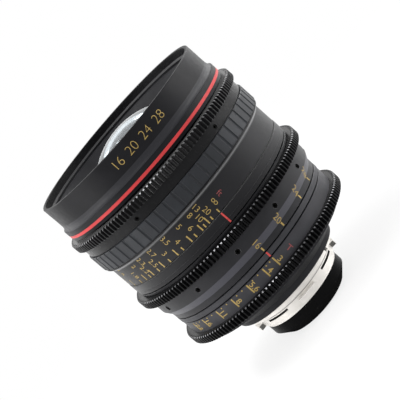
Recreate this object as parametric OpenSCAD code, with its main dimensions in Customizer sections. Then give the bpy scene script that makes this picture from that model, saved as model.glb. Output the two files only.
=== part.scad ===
// Wide cinema zoom lens with focus, zoom and iris rings and a bayonet camera mount.
// The optical axis is +Z and the front glass is up. The origin is the centre of the
// mount's seat. The index lines face -Y. The rings are drawn at infinity, at the
// widest zoom and at full aperture.

/* [Mount] */
// Diameter of the tube that enters the camera
tube_d = 54; // [52:0.1:56]
// Length of the bright part of the tube behind the seat
tube_bright_l = 2.5; // [2:0.1:4]
// Length of the straight black part of the tube
tube_black_l = 5.9; // [4:0.1:10]
// Length of the tapered end of the tube
tube_nose_l = 5.6; // [3:0.1:8]
// Width of the tube's rear rim
tube_rim = 2; // [1.5:0.1:2.5]
// Diameter of the tube's rear rim
tube_nose_d = 42.6; // [41:0.1:48]
// Bore of the bright mount
mount_bore_d = 45; // [43:0.1:46]
// Diameter over the bayonet tabs
tab_d = 63.2; // [62:0.1:65]
// Thickness of the bayonet tabs
tab_t = 2.8; // [2:0.1:4]
// Number of bayonet tabs
tab_n = 4; // [3:1:4]
// Angle that each bayonet tab spans
tab_span = 24; // [18:1:40]
// Width of the neck that the camera's locking ring enters
neck_l = 3.3; // [2.5:0.1:5]
// Diameter of the neck
neck_d = 57; // [56.5:0.1:57.4]
// Width of the slots milled in the neck
slot_w = 1.3; // [0.8:0.1:2]
// Distance of the slots from the seat
slot_back = 2.2; // [1.5:0.1:3]
// Angle that each slot spans
slot_span = 32; // [20:1:45]
// Diameter at the bottom of the slots
slot_floor_d = 48.6; // [48:0.1:50]
// Height of the flange's edge above the tabs
flange_rim = 0.9; // [0.7:0.1:1.5]
// Width of the notch in the flange
notch_w = 2.9; // [2:0.1:4]
// Depth of the notch in the flange
notch_depth = 1.6; // [1:0.1:2]
// Thickness of the mount's screwed flange
flange_t = 2.9; // [2.5:0.1:4]
// Diameter of the spigot that centres the mount in the rear body
spigot_d = 56; // [54.5:0.1:57]
// Length of the spigot that centres the mount in the rear body
spigot_l = 3.5; // [2:0.1:5]
// Thickness of the focus adjusting shim
shim_t = 0.5; // [0.1:0.1:1]
// Number of mount screws
mount_screw_n = 4; // [4:4:8]
// Distance of the mount screws from the flange's edge
mount_screw_edge = 2.3; // [2.1:0.05:2.4]
// Diameter of a mount screw's head
mount_screw_head_d = 3; // [2.4:0.1:3.6]
// Height of a mount screw's head
mount_screw_head_l = 1.1; // [0.8:0.1:1.4]
// Diameter of a mount screw's shank
mount_screw_d = 1.8; // [1.4:0.1:2]
// Length of a mount screw's shank
mount_screw_l = 5.4; // [4.4:0.1:6]

/* [Rear body] */
// Diameter of the rear body behind the mount
body_d = 72.6; // [70:0.1:76]
// Length of the rear body's straight end
body_end_l = 3.6; // [3:0.1:5]
// Width and depth of the line turned round the rear body
body_line_w = 0.4; // [0.3:0.1:0.8]
// Small diameter of the rear body's cone
cone_small_d = 77; // [76:0.1:80]
// Large diameter of the rear body's cone
cone_large_d = 94; // [90:0.1:96]
// Length of the rear body's cone
cone_l = 7; // [5:0.1:9]
// Thickness of the disc behind the iris gear
body_disc_t = 2.3; // [1.5:0.1:4]
// Diameter of the disc behind the iris gear
body_disc_d = 107; // [104:0.1:110]
// Least wall of the rear body round the relay cell
relay_wall = 4; // [3:0.1:5]
// Depth that the rear body reaches into the main barrel
body_spigot_l = 6; // [4:0.1:7]

/* [Rings along the axis] */
// Face width of the three gears
gear_w = 5.3; // [4:0.1:7]
// Gap between a turning ring and a fixed ring
ring_gap = 0.7; // [0.4:0.1:1.2]
// Gap between the iris gear and the disc behind it
iris_gap = 0.5; // [0.3:0.1:1]
// Width of the iris scale band
iris_band_l = 7.6; // [7:0.1:10]
// Width of the fixed ring between iris and zoom
rear_index_l = 3; // [2:0.1:5]
// Width of the narrow rear end of the zoom ring
zoom_end_l = 3.4; // [2:0.1:5]
// Width of the zoom ring's tapered scale
zoom_cone_l = 4.3; // [3:0.1:6]
// Width of the zoom ring's straight band
zoom_band_l = 8.6; // [7:0.1:11]
// Width of the zoom gear's lock ring
lock_l = 1.6; // [1.2:0.1:2.5]
// Width of the fixed index sleeve
index_l = 6.7; // [5:0.1:9]
// Width of the index sleeve's lower rear part
index_rear_l = 2.2; // [1.5:0.1:3.5]
// Width of the focus scale band
scale_l = 12.3; // [10:0.1:15]
// Width of the sloping rim beside the focus scale
scale_rim_l = 2.1; // [1.5:0.1:3]
// Width of the groove behind the grip
grip_groove_l = 1; // [0.6:0.1:1.5]
// Width of the fluted grip
grip_l = 10.1; // [8:0.1:14]
// Width of the fine line in front of the grip
grip_line_l = 0.4; // [0.3:0.1:0.8]
// Width of the smooth band behind the focus gear
focus_band_l = 5.7; // [5:0.1:8]
// Gap between the focus gear and the front barrel
front_gap = 1.1; // [0.6:0.1:2]

/* [Rings across the axis] */
// Diameter of the sliding cells
cell_d = 80.9; // [80.5:0.1:81.5]
// Wall of the guide tube
guide_wall = 2.5; // [2:0.1:3]
// Wall of the cam sleeves
cam_wall = 2.95; // [2.5:0.05:3.4]
// Space between the cam sleeves and the main barrel
cam_space = 1.5; // [1:0.1:2]
// Wall of the main barrel under the iris ring
barrel_rear_wall = 3; // [2.5:0.1:4]
// Wall of the main barrel under the zoom and focus rings
barrel_wall = 5.5; // [5:0.1:6.5]
// Wall of the iris ring
iris_wall = 4.65; // [4.2:0.05:5.5]
// Wall of the fixed ring between iris and zoom
rear_index_wall = 4.98; // [4.5:0.01:6]
// Wall of the narrow end of the zoom ring
zoom_end_wall = 2.45; // [2:0.05:3.5]
// Wall of the straight band of the zoom ring
zoom_wall = 4.9; // [4.2:0.1:6]
// Wall of the fixed index sleeve
index_wall = 5.48; // [4.5:0.01:6]
// Wall of the sleeve inside the focus ring
sleeve_wall = 2.95; // [2.5:0.05:3.4]
// Wall of the focus scale ring
scale_wall = 2.28; // [1.8:0.01:3]
// Wall of the fluted grip
grip_wall = 4.73; // [4:0.01:6]
// Wall of the smooth band behind the focus gear
focus_band_wall = 3.88; // [3:0.01:4.2]
// Height of the shoulder on the index sleeve
index_rise = 0.2; // [0.1:0.1:0.5]
// Height of the grip above the sloping rim beside it
rim_drop = 0.4; // [0.1:0.1:0.8]
// Depth of the lines and grooves between focus parts
line_depth = 1.4; // [0.6:0.1:1.7]
// Chamfer on the edges of the turned rings
edge = 0.25; // [0.1:0.05:0.3]

/* [Gears and grip] */
// Tooth module of the three follow focus gears
gear_module = 0.8; // [0.6:0.1:1]
// Pressure angle of the teeth
gear_pressure = 20; // [15:1:25]
// Radial depth of a gear from its seat to its tooth tips
gear_depth = 5.38; // [4.8:0.01:7]
// Width of the seat that holds the zoom gear's lock ring
lock_seat_w = 1; // [0.6:0.1:1.5]
// Width that the lock ring reaches over the zoom gear
lock_hold = 0.5; // [0.2:0.1:0.6]
// Height of the lock ring's lip above the zoom ring
lock_rise = 0.25; // [0.1:0.05:0.6]
// Width of the groove in front of the zoom gear
lock_groove_l = 0.6; // [0.4:0.1:0.8]
// Wall of a ring's spigot under its gear
gear_seat_wall = 3.95; // [3:0.05:4.1]
// Wall of the iris ring's spigot under its gear
iris_seat_wall = 3.45; // [3:0.05:4]
// Radial depth of the iris gear from its seat to its tooth tips
iris_gear_depth = 5.18; // [4.8:0.01:6]
// Depth of the tooth gaps below the pitch line, in modules
gear_root = 1.25; // [1.15:0.05:1.4]
// Chamfer on the tooth ends
tooth_chamfer = 0.6; // [0.2:0.1:0.9]
// Number of flutes in the grip
flute_n = 60; // [30:2:80]
// Radius of one flute
flute_r = 1.1; // [0.6:0.1:1.5]
// Depth of one flute
flute_depth = 0.6; // [0.3:0.1:0.9]
// Chamfer on the grip's ends
grip_chamfer = 0.3; // [0.1:0.1:0.6]
// Number of set screws round the focus band
focus_screw_n = 6; // [3:1:8]
// Number of set screws round the zoom band
zoom_screw_n = 12; // [3:1:14]
// Diameter of the focus set screws
focus_screw_d = 2.6; // [2:0.1:3.4]
// Distance of the focus set screws from the rear end of their band
focus_screw_back = 2.6; // [2:0.1:3.6]
// Diameter of the zoom set screws
zoom_screw_d = 3.2; // [2.4:0.1:4]
// Distance of the zoom set screws from the rear end of their band
zoom_screw_back = 3.4; // [2.4:0.1:4.6]
// Depth of the set screws below their bands
screw_sink = 0.4; // [0.2:0.1:0.8]

/* [Front barrel] */
// Outside diameter of the front barrel, where a matte box clamps
front_d = 115; // [113:0.1:118]
// Length of the straight front barrel
front_l = 12.4; // [10:0.1:20]
// Length of the flare between front barrel and collar
flare_l = 3.8; // [2:0.1:6]
// Height of the flare
flare_h = 1.6; // [1:0.1:2.5]
// Length of the collar that holds the colour ring
collar_l = 6.4; // [5.5:0.1:9]
// Width of the colour ring
stripe_w = 1.7; // [1.2:0.1:2.5]
// Distance of the colour ring from the collar's rear face
stripe_back = 2; // [1:0.1:2.5]
// Depth of the colour ring's groove
stripe_depth = 1; // [0.6:0.1:1.5]
// Thickness of the front rim
rim_wall = 1.9; // [1.3:0.1:2.2]
// Depth of the front bore behind the rim
rim_bore_l = 4.8; // [3:0.1:6]
// Width of the ledge inside the front bore
ledge_w = 1.6; // [1.2:0.1:2]
// Bevel in the corner above the ledge
ledge_bevel = 0.9; // [0.4:0.1:1.1]
// Chamfer on the front rim
rim_chamfer = 0.3; // [0.2:0.1:0.6]
// Length of the barrel nose inside the front barrel
nose_l = 2.1; // [1.5:0.1:3]
// Thickness of the flange that seats on the nose
seat_t = 1.5; // [1:0.1:2.5]
// Width of the flange that seats on the nose
seat_w = 3.5; // [2:0.1:4.5]
// Depth of the funnel's mouth behind the ledge
funnel_drop = 1.3; // [0.5:0.1:2]
// Wall of the funnel round the front glass
funnel_wall = 1.2; // [0.8:0.1:2]
// Gap between the front glass and the foot of the funnel
funnel_gap = 0.8; // [0.3:0.1:2]

/* [Glass] */
// Radius of curvature of the front glass
dome_r = 48.3; // [46:0.1:52]
// Depth of the front glass behind the rim
dome_drop = 1.6; // [1:0.1:4]
// Diameter of the front glass
front_glass_d = 79; // [76:0.5:80]
// Radius of curvature of the front glass's hollow side
front_hollow_r = 30; // [29:0.1:32]
// Thickness of the front glass on the axis
front_glass_t = 5; // [4:0.1:7]
// Edge height of the front glass
front_edge_l = 6.3; // [5:0.1:7]
// Diameter of the second glass
second_glass_d = 52; // [48:0.5:53]
// Radius of curvature of the second glass's front
second_glass_r = 60; // [50:1:80]
// Radius of curvature of the second glass's hollow side
second_hollow_r = 28; // [27:0.5:34]
// Height of the second glass's edge above the seat of the front glass
second_rise = 2.2; // [1:0.1:3]
// Edge height of the second glass
second_edge_l = 7.8; // [7:0.1:8.5]
// Thickness of the second glass on the axis
second_glass_t = 3; // [2:0.1:5]
// Diameter of the glasses in the sliding cells
cell_glass_d = 58; // [50:0.5:64]
// Edge height of the variator and compensator glasses
cell_glass_edge = 4; // [3:0.1:5]
// Edge height of the focusing glass
focus_glass_edge = 5; // [4:0.1:6]
// Radius of curvature of the glasses in the sliding cells
cell_glass_r = 75; // [60:1:120]
// Diameter of the front relay glass
relay_glass_d = 42; // [36:0.5:44]
// Diameter of the rear relay glass
relay_small_d = 38; // [34:0.5:40]
// Edge height of the front relay glass
relay_edge = 4; // [3:0.1:5]
// Edge height of the rear relay glass
relay_small_edge = 2; // [1.5:0.1:3]
// Radius of curvature of the relay glasses
relay_r = 45; // [40:1:80]
// Diameter of the rear glass
rear_glass_d = 38; // [35:0.1:39]
// Edge height of the rear glass
rear_edge_l = 3.5; // [2.5:0.1:4.5]
// Width of the ring that holds the rear glass
rear_ring_w = 1; // [0.8:0.1:2]
// Length of the ring that holds the rear glass
rear_ring_l = 4; // [2:0.1:6]
// Thickness of the lip that the rear glass seats on
rear_lip_t = 2; // [1.5:0.1:3]
// Radius of curvature of the rear glass
rear_glass_r = 60; // [50:1:90]

/* [Motion] */
// Turn of the focus ring from infinity to its nearest mark
focus_turn = 145; // [100:1:160]
// Travel of the focusing cell
focus_travel = 6; // [3:0.1:7]
// Turn of the zoom ring from its widest to its longest mark
zoom_turn = 53; // [40:1:70]
// Forward travel of the variator cell
variator_travel = 9; // [4:0.1:9.4]
// Rearward travel of the compensator cell
compensator_travel = 4.5; // [2:0.1:4.8]
// Turn of the iris ring from full aperture to its smallest mark
iris_turn = 72; // [60:1:76]
// Swing of each iris blade over the whole turn
blade_swing = 33; // [20:1:34]

/* [Cells and cams] */
// Length of the variator cell
variator_l = 12; // [9:0.1:12.5]
// Length of the compensator cell
compensator_l = 8; // [7:0.1:8.5]
// Length of the focusing cell
focus_cell_l = 10; // [8:0.1:10.5]
// Space behind the variator cell at rest
variator_back = 2; // [1.5:0.1:4]
// Space between the cells when they are closest
cell_space = 2; // [1:0.1:3]
// Width of the lip that a glass seats on
cell_lip = 2; // [1.5:0.1:3]
// Thickness of the lip that a glass seats on
lip_t = 3; // [2:0.1:3.5]
// Thickness of the guide tube's flange
guide_flange_t = 1.5; // [1:0.1:2]
// Diameter of the cam followers
follower_d = 2.6; // [2:0.1:3.2]
// Play of a follower in its slots
follower_play = 0.1; // [0.05:0.01:0.2]
// Thickness of the ring between the two cam sleeves
spacer_t = 1.2; // [0.8:0.1:2]
// Width of the drive keys
key_w = 8; // [5:0.1:10]
// Height of the drive keys
key_h = 3; // [2:0.1:3.2]
// Depth that a key sits in its ring and its sleeve
key_seat = 1; // [0.6:0.1:1.5]
// Play of a key in its pockets and windows
key_play = 0.1; // [0.05:0.01:0.2]
// Free angle at each end of a window or cam slot
window_spare = 1; // [0.5:0.1:2]
// Distance of the focus key from the front end of its cam sleeve
focus_key_back = 1.4; // [1:0.1:1.6]

/* [Iris] */
// Number of iris blades
blade_n = 9; // [7:1:9]
// Radius of the open aperture
aperture_r = 22.5; // [20:0.1:23]
// Width of a blade's crescent
blade_w = 7.7; // [6:0.1:8]
// Thickness of a blade
blade_t = 0.2; // [0.1:0.05:0.25]
// Distance from one blade to the next along the axis
blade_pitch = 0.35; // [0.3:0.05:0.4]
// Radius of the circle of blade pivots
pivot_circle_r = 34; // [33.5:0.1:35]
// Angle from a blade's pivot to its tip
blade_span = 100; // [80:1:105]
// Distance from a blade's pivot to its drive pin
lever_l = 12; // [10:0.1:12.5]
// Radius of a blade's pivot pin
pivot_pin_r = 0.6; // [0.4:0.05:0.8]
// Radius of a blade's drive pin
drive_pin_r = 0.5; // [0.4:0.05:0.6]
// Play of the blade pins
pin_play = 0.05; // [0.03:0.01:0.09]
// Width of the ear round a blade's pin
ear_r = 1.7; // [1.3:0.1:2]
// Thickness of the iris base plate
plate_t = 1.5; // [1:0.1:2]
// Wall of the iris housing
housing_wall = 2.45; // [2:0.05:3]
// Width of the ledge that carries the drive ring
housing_ledge = 1.5; // [1:0.1:2]
// Thickness of the iris drive ring
drive_t = 1.5; // [1:0.1:2]
// Thickness of the iris cover
cover_t = 1.35; // [1:0.05:2]
// Play of the drive ring along the axis
drive_play = 0.05; // [0.03:0.01:0.1]

/* [Hidden] */

// Faces round the large circles, round the small ones, and steps along a curved slot
$fn = 120;
small_fn = 32;
slot_steps = 14;

// Clearance of a fixed fit, of a turning or sliding fit, and the overrun of every cut
fit = 0.02;
run = 0.05;
cut = 1;
// Gap between a cam sleeve and its neighbours along the axis
end_play = 0.1;
// Angle of the index lines, of the followers, and of each drive key
index_angle = -90;
follower_angle = 90;
follower_n = 3;
zoom_key_angle = follower_angle + (zoom_turn + 360 / follower_n) / 2;
focus_key_angle = 30;
iris_key_angle = 54;
// Angles of the mount's notch and of its first screw
notch_angle = index_angle + 46.5;
mount_screw_angle = index_angle + 22.5;
// Angles of the first set screws and of the first flute
focus_screw_angle = index_angle + 31;
zoom_screw_angle = index_angle + 21;
flute_angle = index_angle + 4;

// Radii from the axis outwards
cell_r = cell_d / 2;
guide_ir = cell_r + run;
guide_or = guide_ir + guide_wall;
cam_ir = guide_or + run;
cam_or = cam_ir + cam_wall;
barrel_ir = cam_or + cam_space;
barrel_rear_or = barrel_ir + barrel_rear_wall;
barrel_or = barrel_ir + barrel_wall;
inner_or = barrel_ir - run;
iris_ir = barrel_rear_or + run;
iris_or = iris_ir + iris_wall;
iris_seat_r = iris_ir + iris_seat_wall;
rear_index_or = barrel_rear_or + fit + rear_index_wall;
ring_ir = barrel_or + run;
zoom_end_or = ring_ir + zoom_end_wall;
zoom_or = ring_ir + zoom_wall;
zoom_seat_r = ring_ir + gear_seat_wall;
zoom_lock_r = zoom_seat_r - lock_seat_w;
index_or = barrel_or + fit + index_wall;
sleeve_or = ring_ir + sleeve_wall;
scale_or = sleeve_or + fit + scale_wall;
grip_or = sleeve_or + fit + grip_wall;
focus_band_or = sleeve_or + fit + focus_band_wall;
line_r = grip_or - line_depth;
focus_gear_depth = zoom_seat_r + gear_depth - sleeve_or;
front_seat_r = barrel_ir + seat_w;
front_r = front_d / 2;
collar_r = front_r + flare_h;
rim_bore_r = front_r - rim_wall;
ledge_bore_r = rim_bore_r - ledge_w;

// Places along the axis, from the mount's seat forwards
neck_z = tab_t;
flange_z = neck_z + neck_l;
flange_r = tab_d / 2 + flange_rim;
mount_screw_circle_r = flange_r - mount_screw_edge;
shim_z = flange_z + flange_t;
body_z = shim_z + shim_t;
body_line_z = body_z + body_end_l;
cone_z = body_line_z + body_line_w;
disc_z = cone_z + cone_l;
barrel_z = disc_z + body_disc_t;
iris_z = barrel_z + iris_gap;
iris_band_z = iris_z + gear_w;
rear_index_z = iris_band_z + iris_band_l + ring_gap;
shoulder_z = rear_index_z + rear_index_l;
zoom_z = shoulder_z + ring_gap;
zoom_cone_z = zoom_z + zoom_end_l;
zoom_band_z = zoom_cone_z + zoom_cone_l;
zoom_gear_z = zoom_band_z + zoom_band_l;
lock_z = zoom_gear_z + gear_w;
index_z = lock_z + lock_l + ring_gap;
focus_z = index_z + index_l + ring_gap;
scale_rim_z = focus_z + scale_l;
grip_groove_z = scale_rim_z + scale_rim_l;
grip_z = grip_groove_z + grip_groove_l;
grip_line_z = grip_z + grip_l;
focus_band_z = grip_line_z + grip_line_l;
focus_gear_z = focus_band_z + focus_band_l;
focus_end_z = focus_gear_z + gear_w;
collar_z = focus_end_z + front_gap;
nose_z = collar_z + nose_l;
flare_z = collar_z + collar_l;
front_z = flare_z + flare_l;
rim_z = front_z + front_l;
ledge_z = rim_z - rim_bore_l;
focus_screw_z = focus_band_z + focus_screw_back;
zoom_screw_z = zoom_band_z + zoom_screw_back;
funnel_z = ledge_z - funnel_drop;
stripe_z = collar_z + stripe_back;
bright_z = -tube_bright_l;
black_z = bright_z - tube_black_l;
tail_z = black_z - tube_nose_l;
rear_seat_z = black_z + rear_lip_t / 2;

// Front glass
dome_z = rim_z - dome_drop - dome_r;
front_glass_r = front_glass_d / 2;
dome_edge_z = dome_z + sqrt(pow(dome_r, 2) - pow(front_glass_r, 2));
front_seat_z = dome_edge_z - front_edge_l;
hollow_z = rim_z - dome_drop - front_glass_t - front_hollow_r;
second_glass_rr = second_glass_d / 2;
second_edge_z = front_seat_z + second_rise;
second_seat_z = second_edge_z - second_edge_l;
second_sag = second_glass_r - sqrt(pow(second_glass_r, 2) - pow(second_glass_rr, 2));
second_top_z = second_edge_z + second_sag;
second_hollow_z = second_top_z - second_glass_t - second_hollow_r;
front_cell_z = second_seat_z - seat_t;

// Relay cell
relay_z = body_z + spigot_l + fit;
relay_bore_r = cone_small_d / 2 - relay_wall;

// Iris unit
plate_z = barrel_z + body_spigot_l;
relay_lip_z = plate_z - end_play - relay_edge - cell_lip;
blade_z = plate_z + plate_t + blade_t;
blade_stack = blade_n * blade_pitch;
housing_ledge_z = blade_z + blade_stack + blade_t;
drive_z = housing_ledge_z + drive_play;
cover_z = drive_z + drive_t + drive_play;
guide_z = cover_z + cover_t;
housing_ir = inner_or - housing_wall;
ledge_r = housing_ir - housing_ledge;
blade_ir = aperture_r + run;
blade_or = blade_ir + blade_w;

// Cells and cams
guide_end_z = front_cell_z - end_play;
variator_z = guide_z + guide_flange_t + variator_back;
compensator_z = variator_z + variator_l + variator_travel + cell_space + compensator_travel;
focus_cell_z = compensator_z + compensator_l + cell_space;
zoom_cam_z = guide_z + guide_flange_t + end_play;
spacer_z = compensator_z + compensator_l - end_play;
zoom_cam_end = spacer_z - end_play;
focus_cam_z = spacer_z + spacer_t + end_play;
focus_cam_end = front_cell_z - 2 * end_play;
variator_pin_z = variator_z + variator_l / 2;
compensator_pin_z = compensator_z + compensator_l / 2;
focus_pin_z = focus_cell_z + focus_cell_l / 2;
follower_r = follower_d / 2;
follower_end_r = cam_or - end_play;
cell_glass_rr = cell_glass_d / 2;
zoom_key_z = zoom_cone_z + zoom_cone_l / 2;
focus_key_z = focus_cam_end - focus_key_back - key_h;
iris_key_z = drive_z;
iris_key_h = drive_t;

// A profile in which a corner with a third value is chamfered by that length
function toward(corner, next) =
    let (place = [corner[0], corner[1]], way = [next[0], next[1]] - place)
    place + way / norm(way) * corner[2];

function outline(corners) =
    let (n = len(corners))
    [for (i = [0 : n - 1])
        each len(corners[i]) < 3 ? [corners[i]]
            : [toward(corners[i], corners[(i + n - 1) % n]), toward(corners[i], corners[(i + 1) % n])]];

// A tube drawn as one turned profile
module tube(outer_r, inner_r, low, high) {
    rotate_extrude()
        translate([inner_r, low])
            square([outer_r - inner_r, high - low]);
}

// A pin whose axis points away from the lens axis
module radial_pin(radius, from_r, to_r, angle, height, faces = small_fn) {
    rotate(angle)
        translate([from_r, 0, height])
            rotate([0, 90, 0])
                cylinder(h = to_r - from_r, r = radius, $fn = faces);
}

// A block that points away from the lens axis
module radial_block(width, from_r, to_r, angle, low, high) {
    rotate(angle)
        translate([from_r, -width / 2, low])
            cube([to_r - from_r, width, high - low]);
}

// A curved cut of constant height from one angle and height to another, as one swept solid
module helical_cut(from_r, to_r, angle_1, height_1, angle_2, height_2, height, steps = slot_steps) {
    half = height / 2;
    reach = to_r / cos((angle_2 - angle_1) / steps / 2);
    points = [for (i = [0 : steps])
        let (share = i / steps, a = angle_1 + (angle_2 - angle_1) * share,
            z = height_1 + (height_2 - height_1) * share)
        each [[from_r * cos(a), from_r * sin(a), z - half], [reach * cos(a), reach * sin(a), z - half],
            [reach * cos(a), reach * sin(a), z + half], [from_r * cos(a), from_r * sin(a), z + half]]];
    last = 4 * steps;
    sides = [for (i = [0 : steps - 1], k = [0 : 3])
        let (n = (k + 1) % 4)
        each [[4 * i + k, 4 * i + n, 4 * i + 4 + n], [4 * i + k, 4 * i + 4 + n, 4 * i + 4 + k]]];
    ends = [[0, 2, 1], [0, 3, 2], [last, last + 1, last + 2], [last, last + 2, last + 3]];
    polyhedron(points = points, faces = concat(sides, ends));
}

// The cut in a cam sleeve that moves a follower while the sleeve turns
module cam_slot(angle, pin_z, turn, travel) {
    spare = (window_spare + asin(follower_r / guide_or)) * sign(turn);
    slope = travel / turn;
    rest = [angle + spare, pin_z - slope * spare];
    far = [angle - turn - spare, pin_z + slope * (turn + spare)];
    low = turn > 0 ? far : rest;
    high = turn > 0 ? rest : far;
    helical_cut(guide_or - cut, barrel_ir, low[0], low[1], high[0], high[1],
        follower_d + 2 * follower_play);
}

// The straight slot in the guide tube that lets a follower slide
module guide_slot(angle, pin_z, travel) {
    radius = follower_r + follower_play;
    low = min(pin_z, pin_z + travel);
    high = max(pin_z, pin_z + travel);
    radial_pin(radius, guide_ir - cut, guide_or + cut, angle, low);
    radial_pin(radius, guide_ir - cut, guide_or + cut, angle, high);
    radial_block(2 * radius, guide_ir - cut, guide_or + cut, angle, low, high);
}

// The window in the main barrel that a drive key sweeps
module key_window(angle, turn, low, high, inner_r, outer_r) {
    half = asin((key_w / 2 + key_play) / inner_r) + window_spare;
    first = min(angle, angle + turn) - half;
    last = max(angle, angle + turn) + half;
    middle = (low + high) / 2;
    helical_cut(inner_r - cut, outer_r + cut, first, middle, last, middle, high - low + 2 * key_play);
}

// Outline of a toothed ring with straight flanks
function tooth_points(teeth) =
    let (pitch_r = teeth * gear_module / 2,
        tip_r = pitch_r + gear_module,
        root_r = pitch_r - gear_root * gear_module,
        half_pitch = gear_module * PI / 4,
        tip_half = half_pitch - gear_module * tan(gear_pressure),
        root_half = half_pitch + gear_root * gear_module * tan(gear_pressure),
        tip_a = asin(tip_half / tip_r),
        root_a = asin(root_half / root_r))
    [for (i = [0 : teeth - 1])
        let (a = 360 * i / teeth)
        each [[root_r * cos(a - root_a), root_r * sin(a - root_a)],
            [tip_r * cos(a - tip_a), tip_r * sin(a - tip_a)],
            [tip_r * cos(a + tip_a), tip_r * sin(a + tip_a)],
            [root_r * cos(a + root_a), root_r * sin(a + root_a)]]];

function tooth_count(seat_r, depth) = round(2 * (seat_r + fit + depth) / gear_module - 2);

// A toothed ring whose tooth ends are chamfered
module toothed_ring(seat_r, depth, low) {
    teeth = tooth_count(seat_r, depth);
    tip_r = (teeth + 2) * gear_module / 2;
    intersection() {
        translate([0, 0, low])
            linear_extrude(height = gear_w)
                difference() {
                    polygon(tooth_points(teeth));
                    circle(r = seat_r + fit);
                }
        rotate_extrude()
            polygon([[0, low - cut], [tip_r - tooth_chamfer - cut, low - cut],
                [tip_r + cut, low + tooth_chamfer + cut],
                [tip_r + cut, low + gear_w - tooth_chamfer - cut],
                [tip_r - tooth_chamfer - cut, low + gear_w + cut], [0, low + gear_w + cut]]);
    }
}

// Height of a sphere's cap at a distance from its axis
function sag(curve_r, at_r) = abs(curve_r) - sqrt(pow(curve_r, 2) - pow(at_r, 2));

// Where a glass's edge starts: a domed rear face rests on the inner corner of its lip
function edge_start(radius, seat_z, rear_r) =
    seat_z + (rear_r > 0 ? sag(rear_r, radius) - sag(rear_r, radius - cell_lip) : 0);

// A glass on its seat. A positive face is domed, and a negative one hollow with a flat rim
module glass(radius, seat_z, edge, rear_r, front_r) {
    low = edge_start(radius, seat_z, rear_r);
    high = low + edge;
    top = high + (front_r > 0 ? sag(front_r, radius) : 0);
    bottom = low - (rear_r > 0 ? sag(rear_r, radius) : 0);
    rim_r = radius - cell_lip;
    difference() {
        intersection() {
            translate([0, 0, bottom])
                cylinder(h = top - bottom, r = radius);
            if (front_r > 0) {
                translate([0, 0, top - front_r])
                    sphere(r = front_r);
            }
            if (rear_r > 0) {
                translate([0, 0, bottom + rear_r])
                    sphere(r = rear_r);
            }
        }
        if (front_r < 0) {
            translate([0, 0, high + sqrt(pow(front_r, 2) - pow(rim_r, 2))])
                sphere(r = -front_r);
        }
        if (rear_r < 0) {
            translate([0, 0, low - sqrt(pow(rear_r, 2) - pow(rim_r, 2))])
                sphere(r = -rear_r);
        }
    }
}

// A sliding cell with a seat for its glass and a blind hole for each follower
module cell(low, high, edge, pin_z) {
    seat_z = low + lip_t;
    difference() {
        rotate_extrude()
            polygon([[cell_glass_rr - cell_lip, low], [cell_r, low], [cell_r, high],
                [cell_glass_rr + cell_lip, high], [cell_glass_rr + fit, seat_z + edge + cell_lip],
                [cell_glass_rr + fit, seat_z], [cell_glass_rr - cell_lip, seat_z]]);
        for (i = [0 : follower_n - 1]) {
            radial_pin(follower_r + fit, cell_r - follower_d, cell_r + cut,
                follower_angle + 360 * i / follower_n, pin_z);
        }
    }
}

module followers(pin_z) {
    color("goldenrod")
        for (i = [0 : follower_n - 1]) {
            radial_pin(follower_r, cell_r - follower_d + fit, follower_end_r,
                follower_angle + 360 * i / follower_n, pin_z);
        }
}

// Set screws with hexagonal sockets, flush below a band
module set_screws(count, first_angle, diameter, from_r, band_r, height) {
    color("dimgray")
        for (i = [0 : count - 1]) {
            difference() {
                radial_pin(diameter / 2 - fit, from_r, band_r - screw_sink,
                    first_angle + 360 * i / count, height);
                radial_pin(diameter / 4, band_r - diameter / 2 - screw_sink, band_r + cut,
                    first_angle + 360 * i / count, height, 6);
            }
        }
}

// Front barrel with its collar, flare and bore
module front_hood() {
    color("dimgray")
        rotate_extrude()
            polygon(outline([[barrel_or + fit, collar_z], [collar_r, collar_z, edge],
                [collar_r, stripe_z], [collar_r - stripe_depth, stripe_z],
                [collar_r - stripe_depth, stripe_z + stripe_w], [collar_r, stripe_z + stripe_w],
                [collar_r, flare_z],
                for (i = [1 : 4]) [front_r + flare_h * (1 - sin(90 * i / 4)),
                    flare_z + flare_l * (1 - cos(90 * i / 4))],
                [front_r, rim_z, rim_chamfer], [rim_bore_r, rim_z, rim_chamfer],
                [rim_bore_r, ledge_z, ledge_bevel],
                [ledge_bore_r, ledge_z], [ledge_bore_r, nose_z + seat_t],
                [front_seat_r + fit, nose_z + seat_t], [front_seat_r + fit, nose_z],
                [barrel_or + fit, nose_z]]));
}

module red_ring() {
    color("tomato")
        tube(collar_r, collar_r - stripe_depth + fit, stripe_z + fit, stripe_z + stripe_w - fit);
}

// Funnel that leads from the front bore to the front glass
module front_funnel() {
    low = nose_z + seat_t;
    throat = front_glass_r + funnel_gap;
    color("gray")
        rotate_extrude()
            polygon([[throat, low], [throat + funnel_wall, low],
                [ledge_bore_r - fit, funnel_z - funnel_wall], [ledge_bore_r - fit, funnel_z],
                [ledge_bore_r - funnel_wall, funnel_z]]);
}

// Cell of the front glasses, which seats on the nose of the main barrel
module front_cell() {
    color("dimgray")
        rotate_extrude()
            polygon([[second_glass_rr - cell_lip, front_cell_z], [inner_or, front_cell_z],
                [inner_or, nose_z], [front_seat_r, nose_z], [front_seat_r, nose_z + seat_t],
                [front_glass_r + fit, nose_z + seat_t], [front_glass_r + fit, front_seat_z],
                [second_glass_rr + fit, front_seat_z], [second_glass_rr + fit, second_seat_z],
                [second_glass_rr - cell_lip, second_seat_z]]);
}

// Bulging front glass
module front_glass() {
    color("lightcyan", 0.4)
        difference() {
            intersection() {
                translate([0, 0, dome_z])
                    sphere(r = dome_r);
                translate([0, 0, front_seat_z])
                    cylinder(h = rim_z - front_seat_z, r = front_glass_r);
            }
            translate([0, 0, hollow_z])
                sphere(r = front_hollow_r);
        }
}

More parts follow.
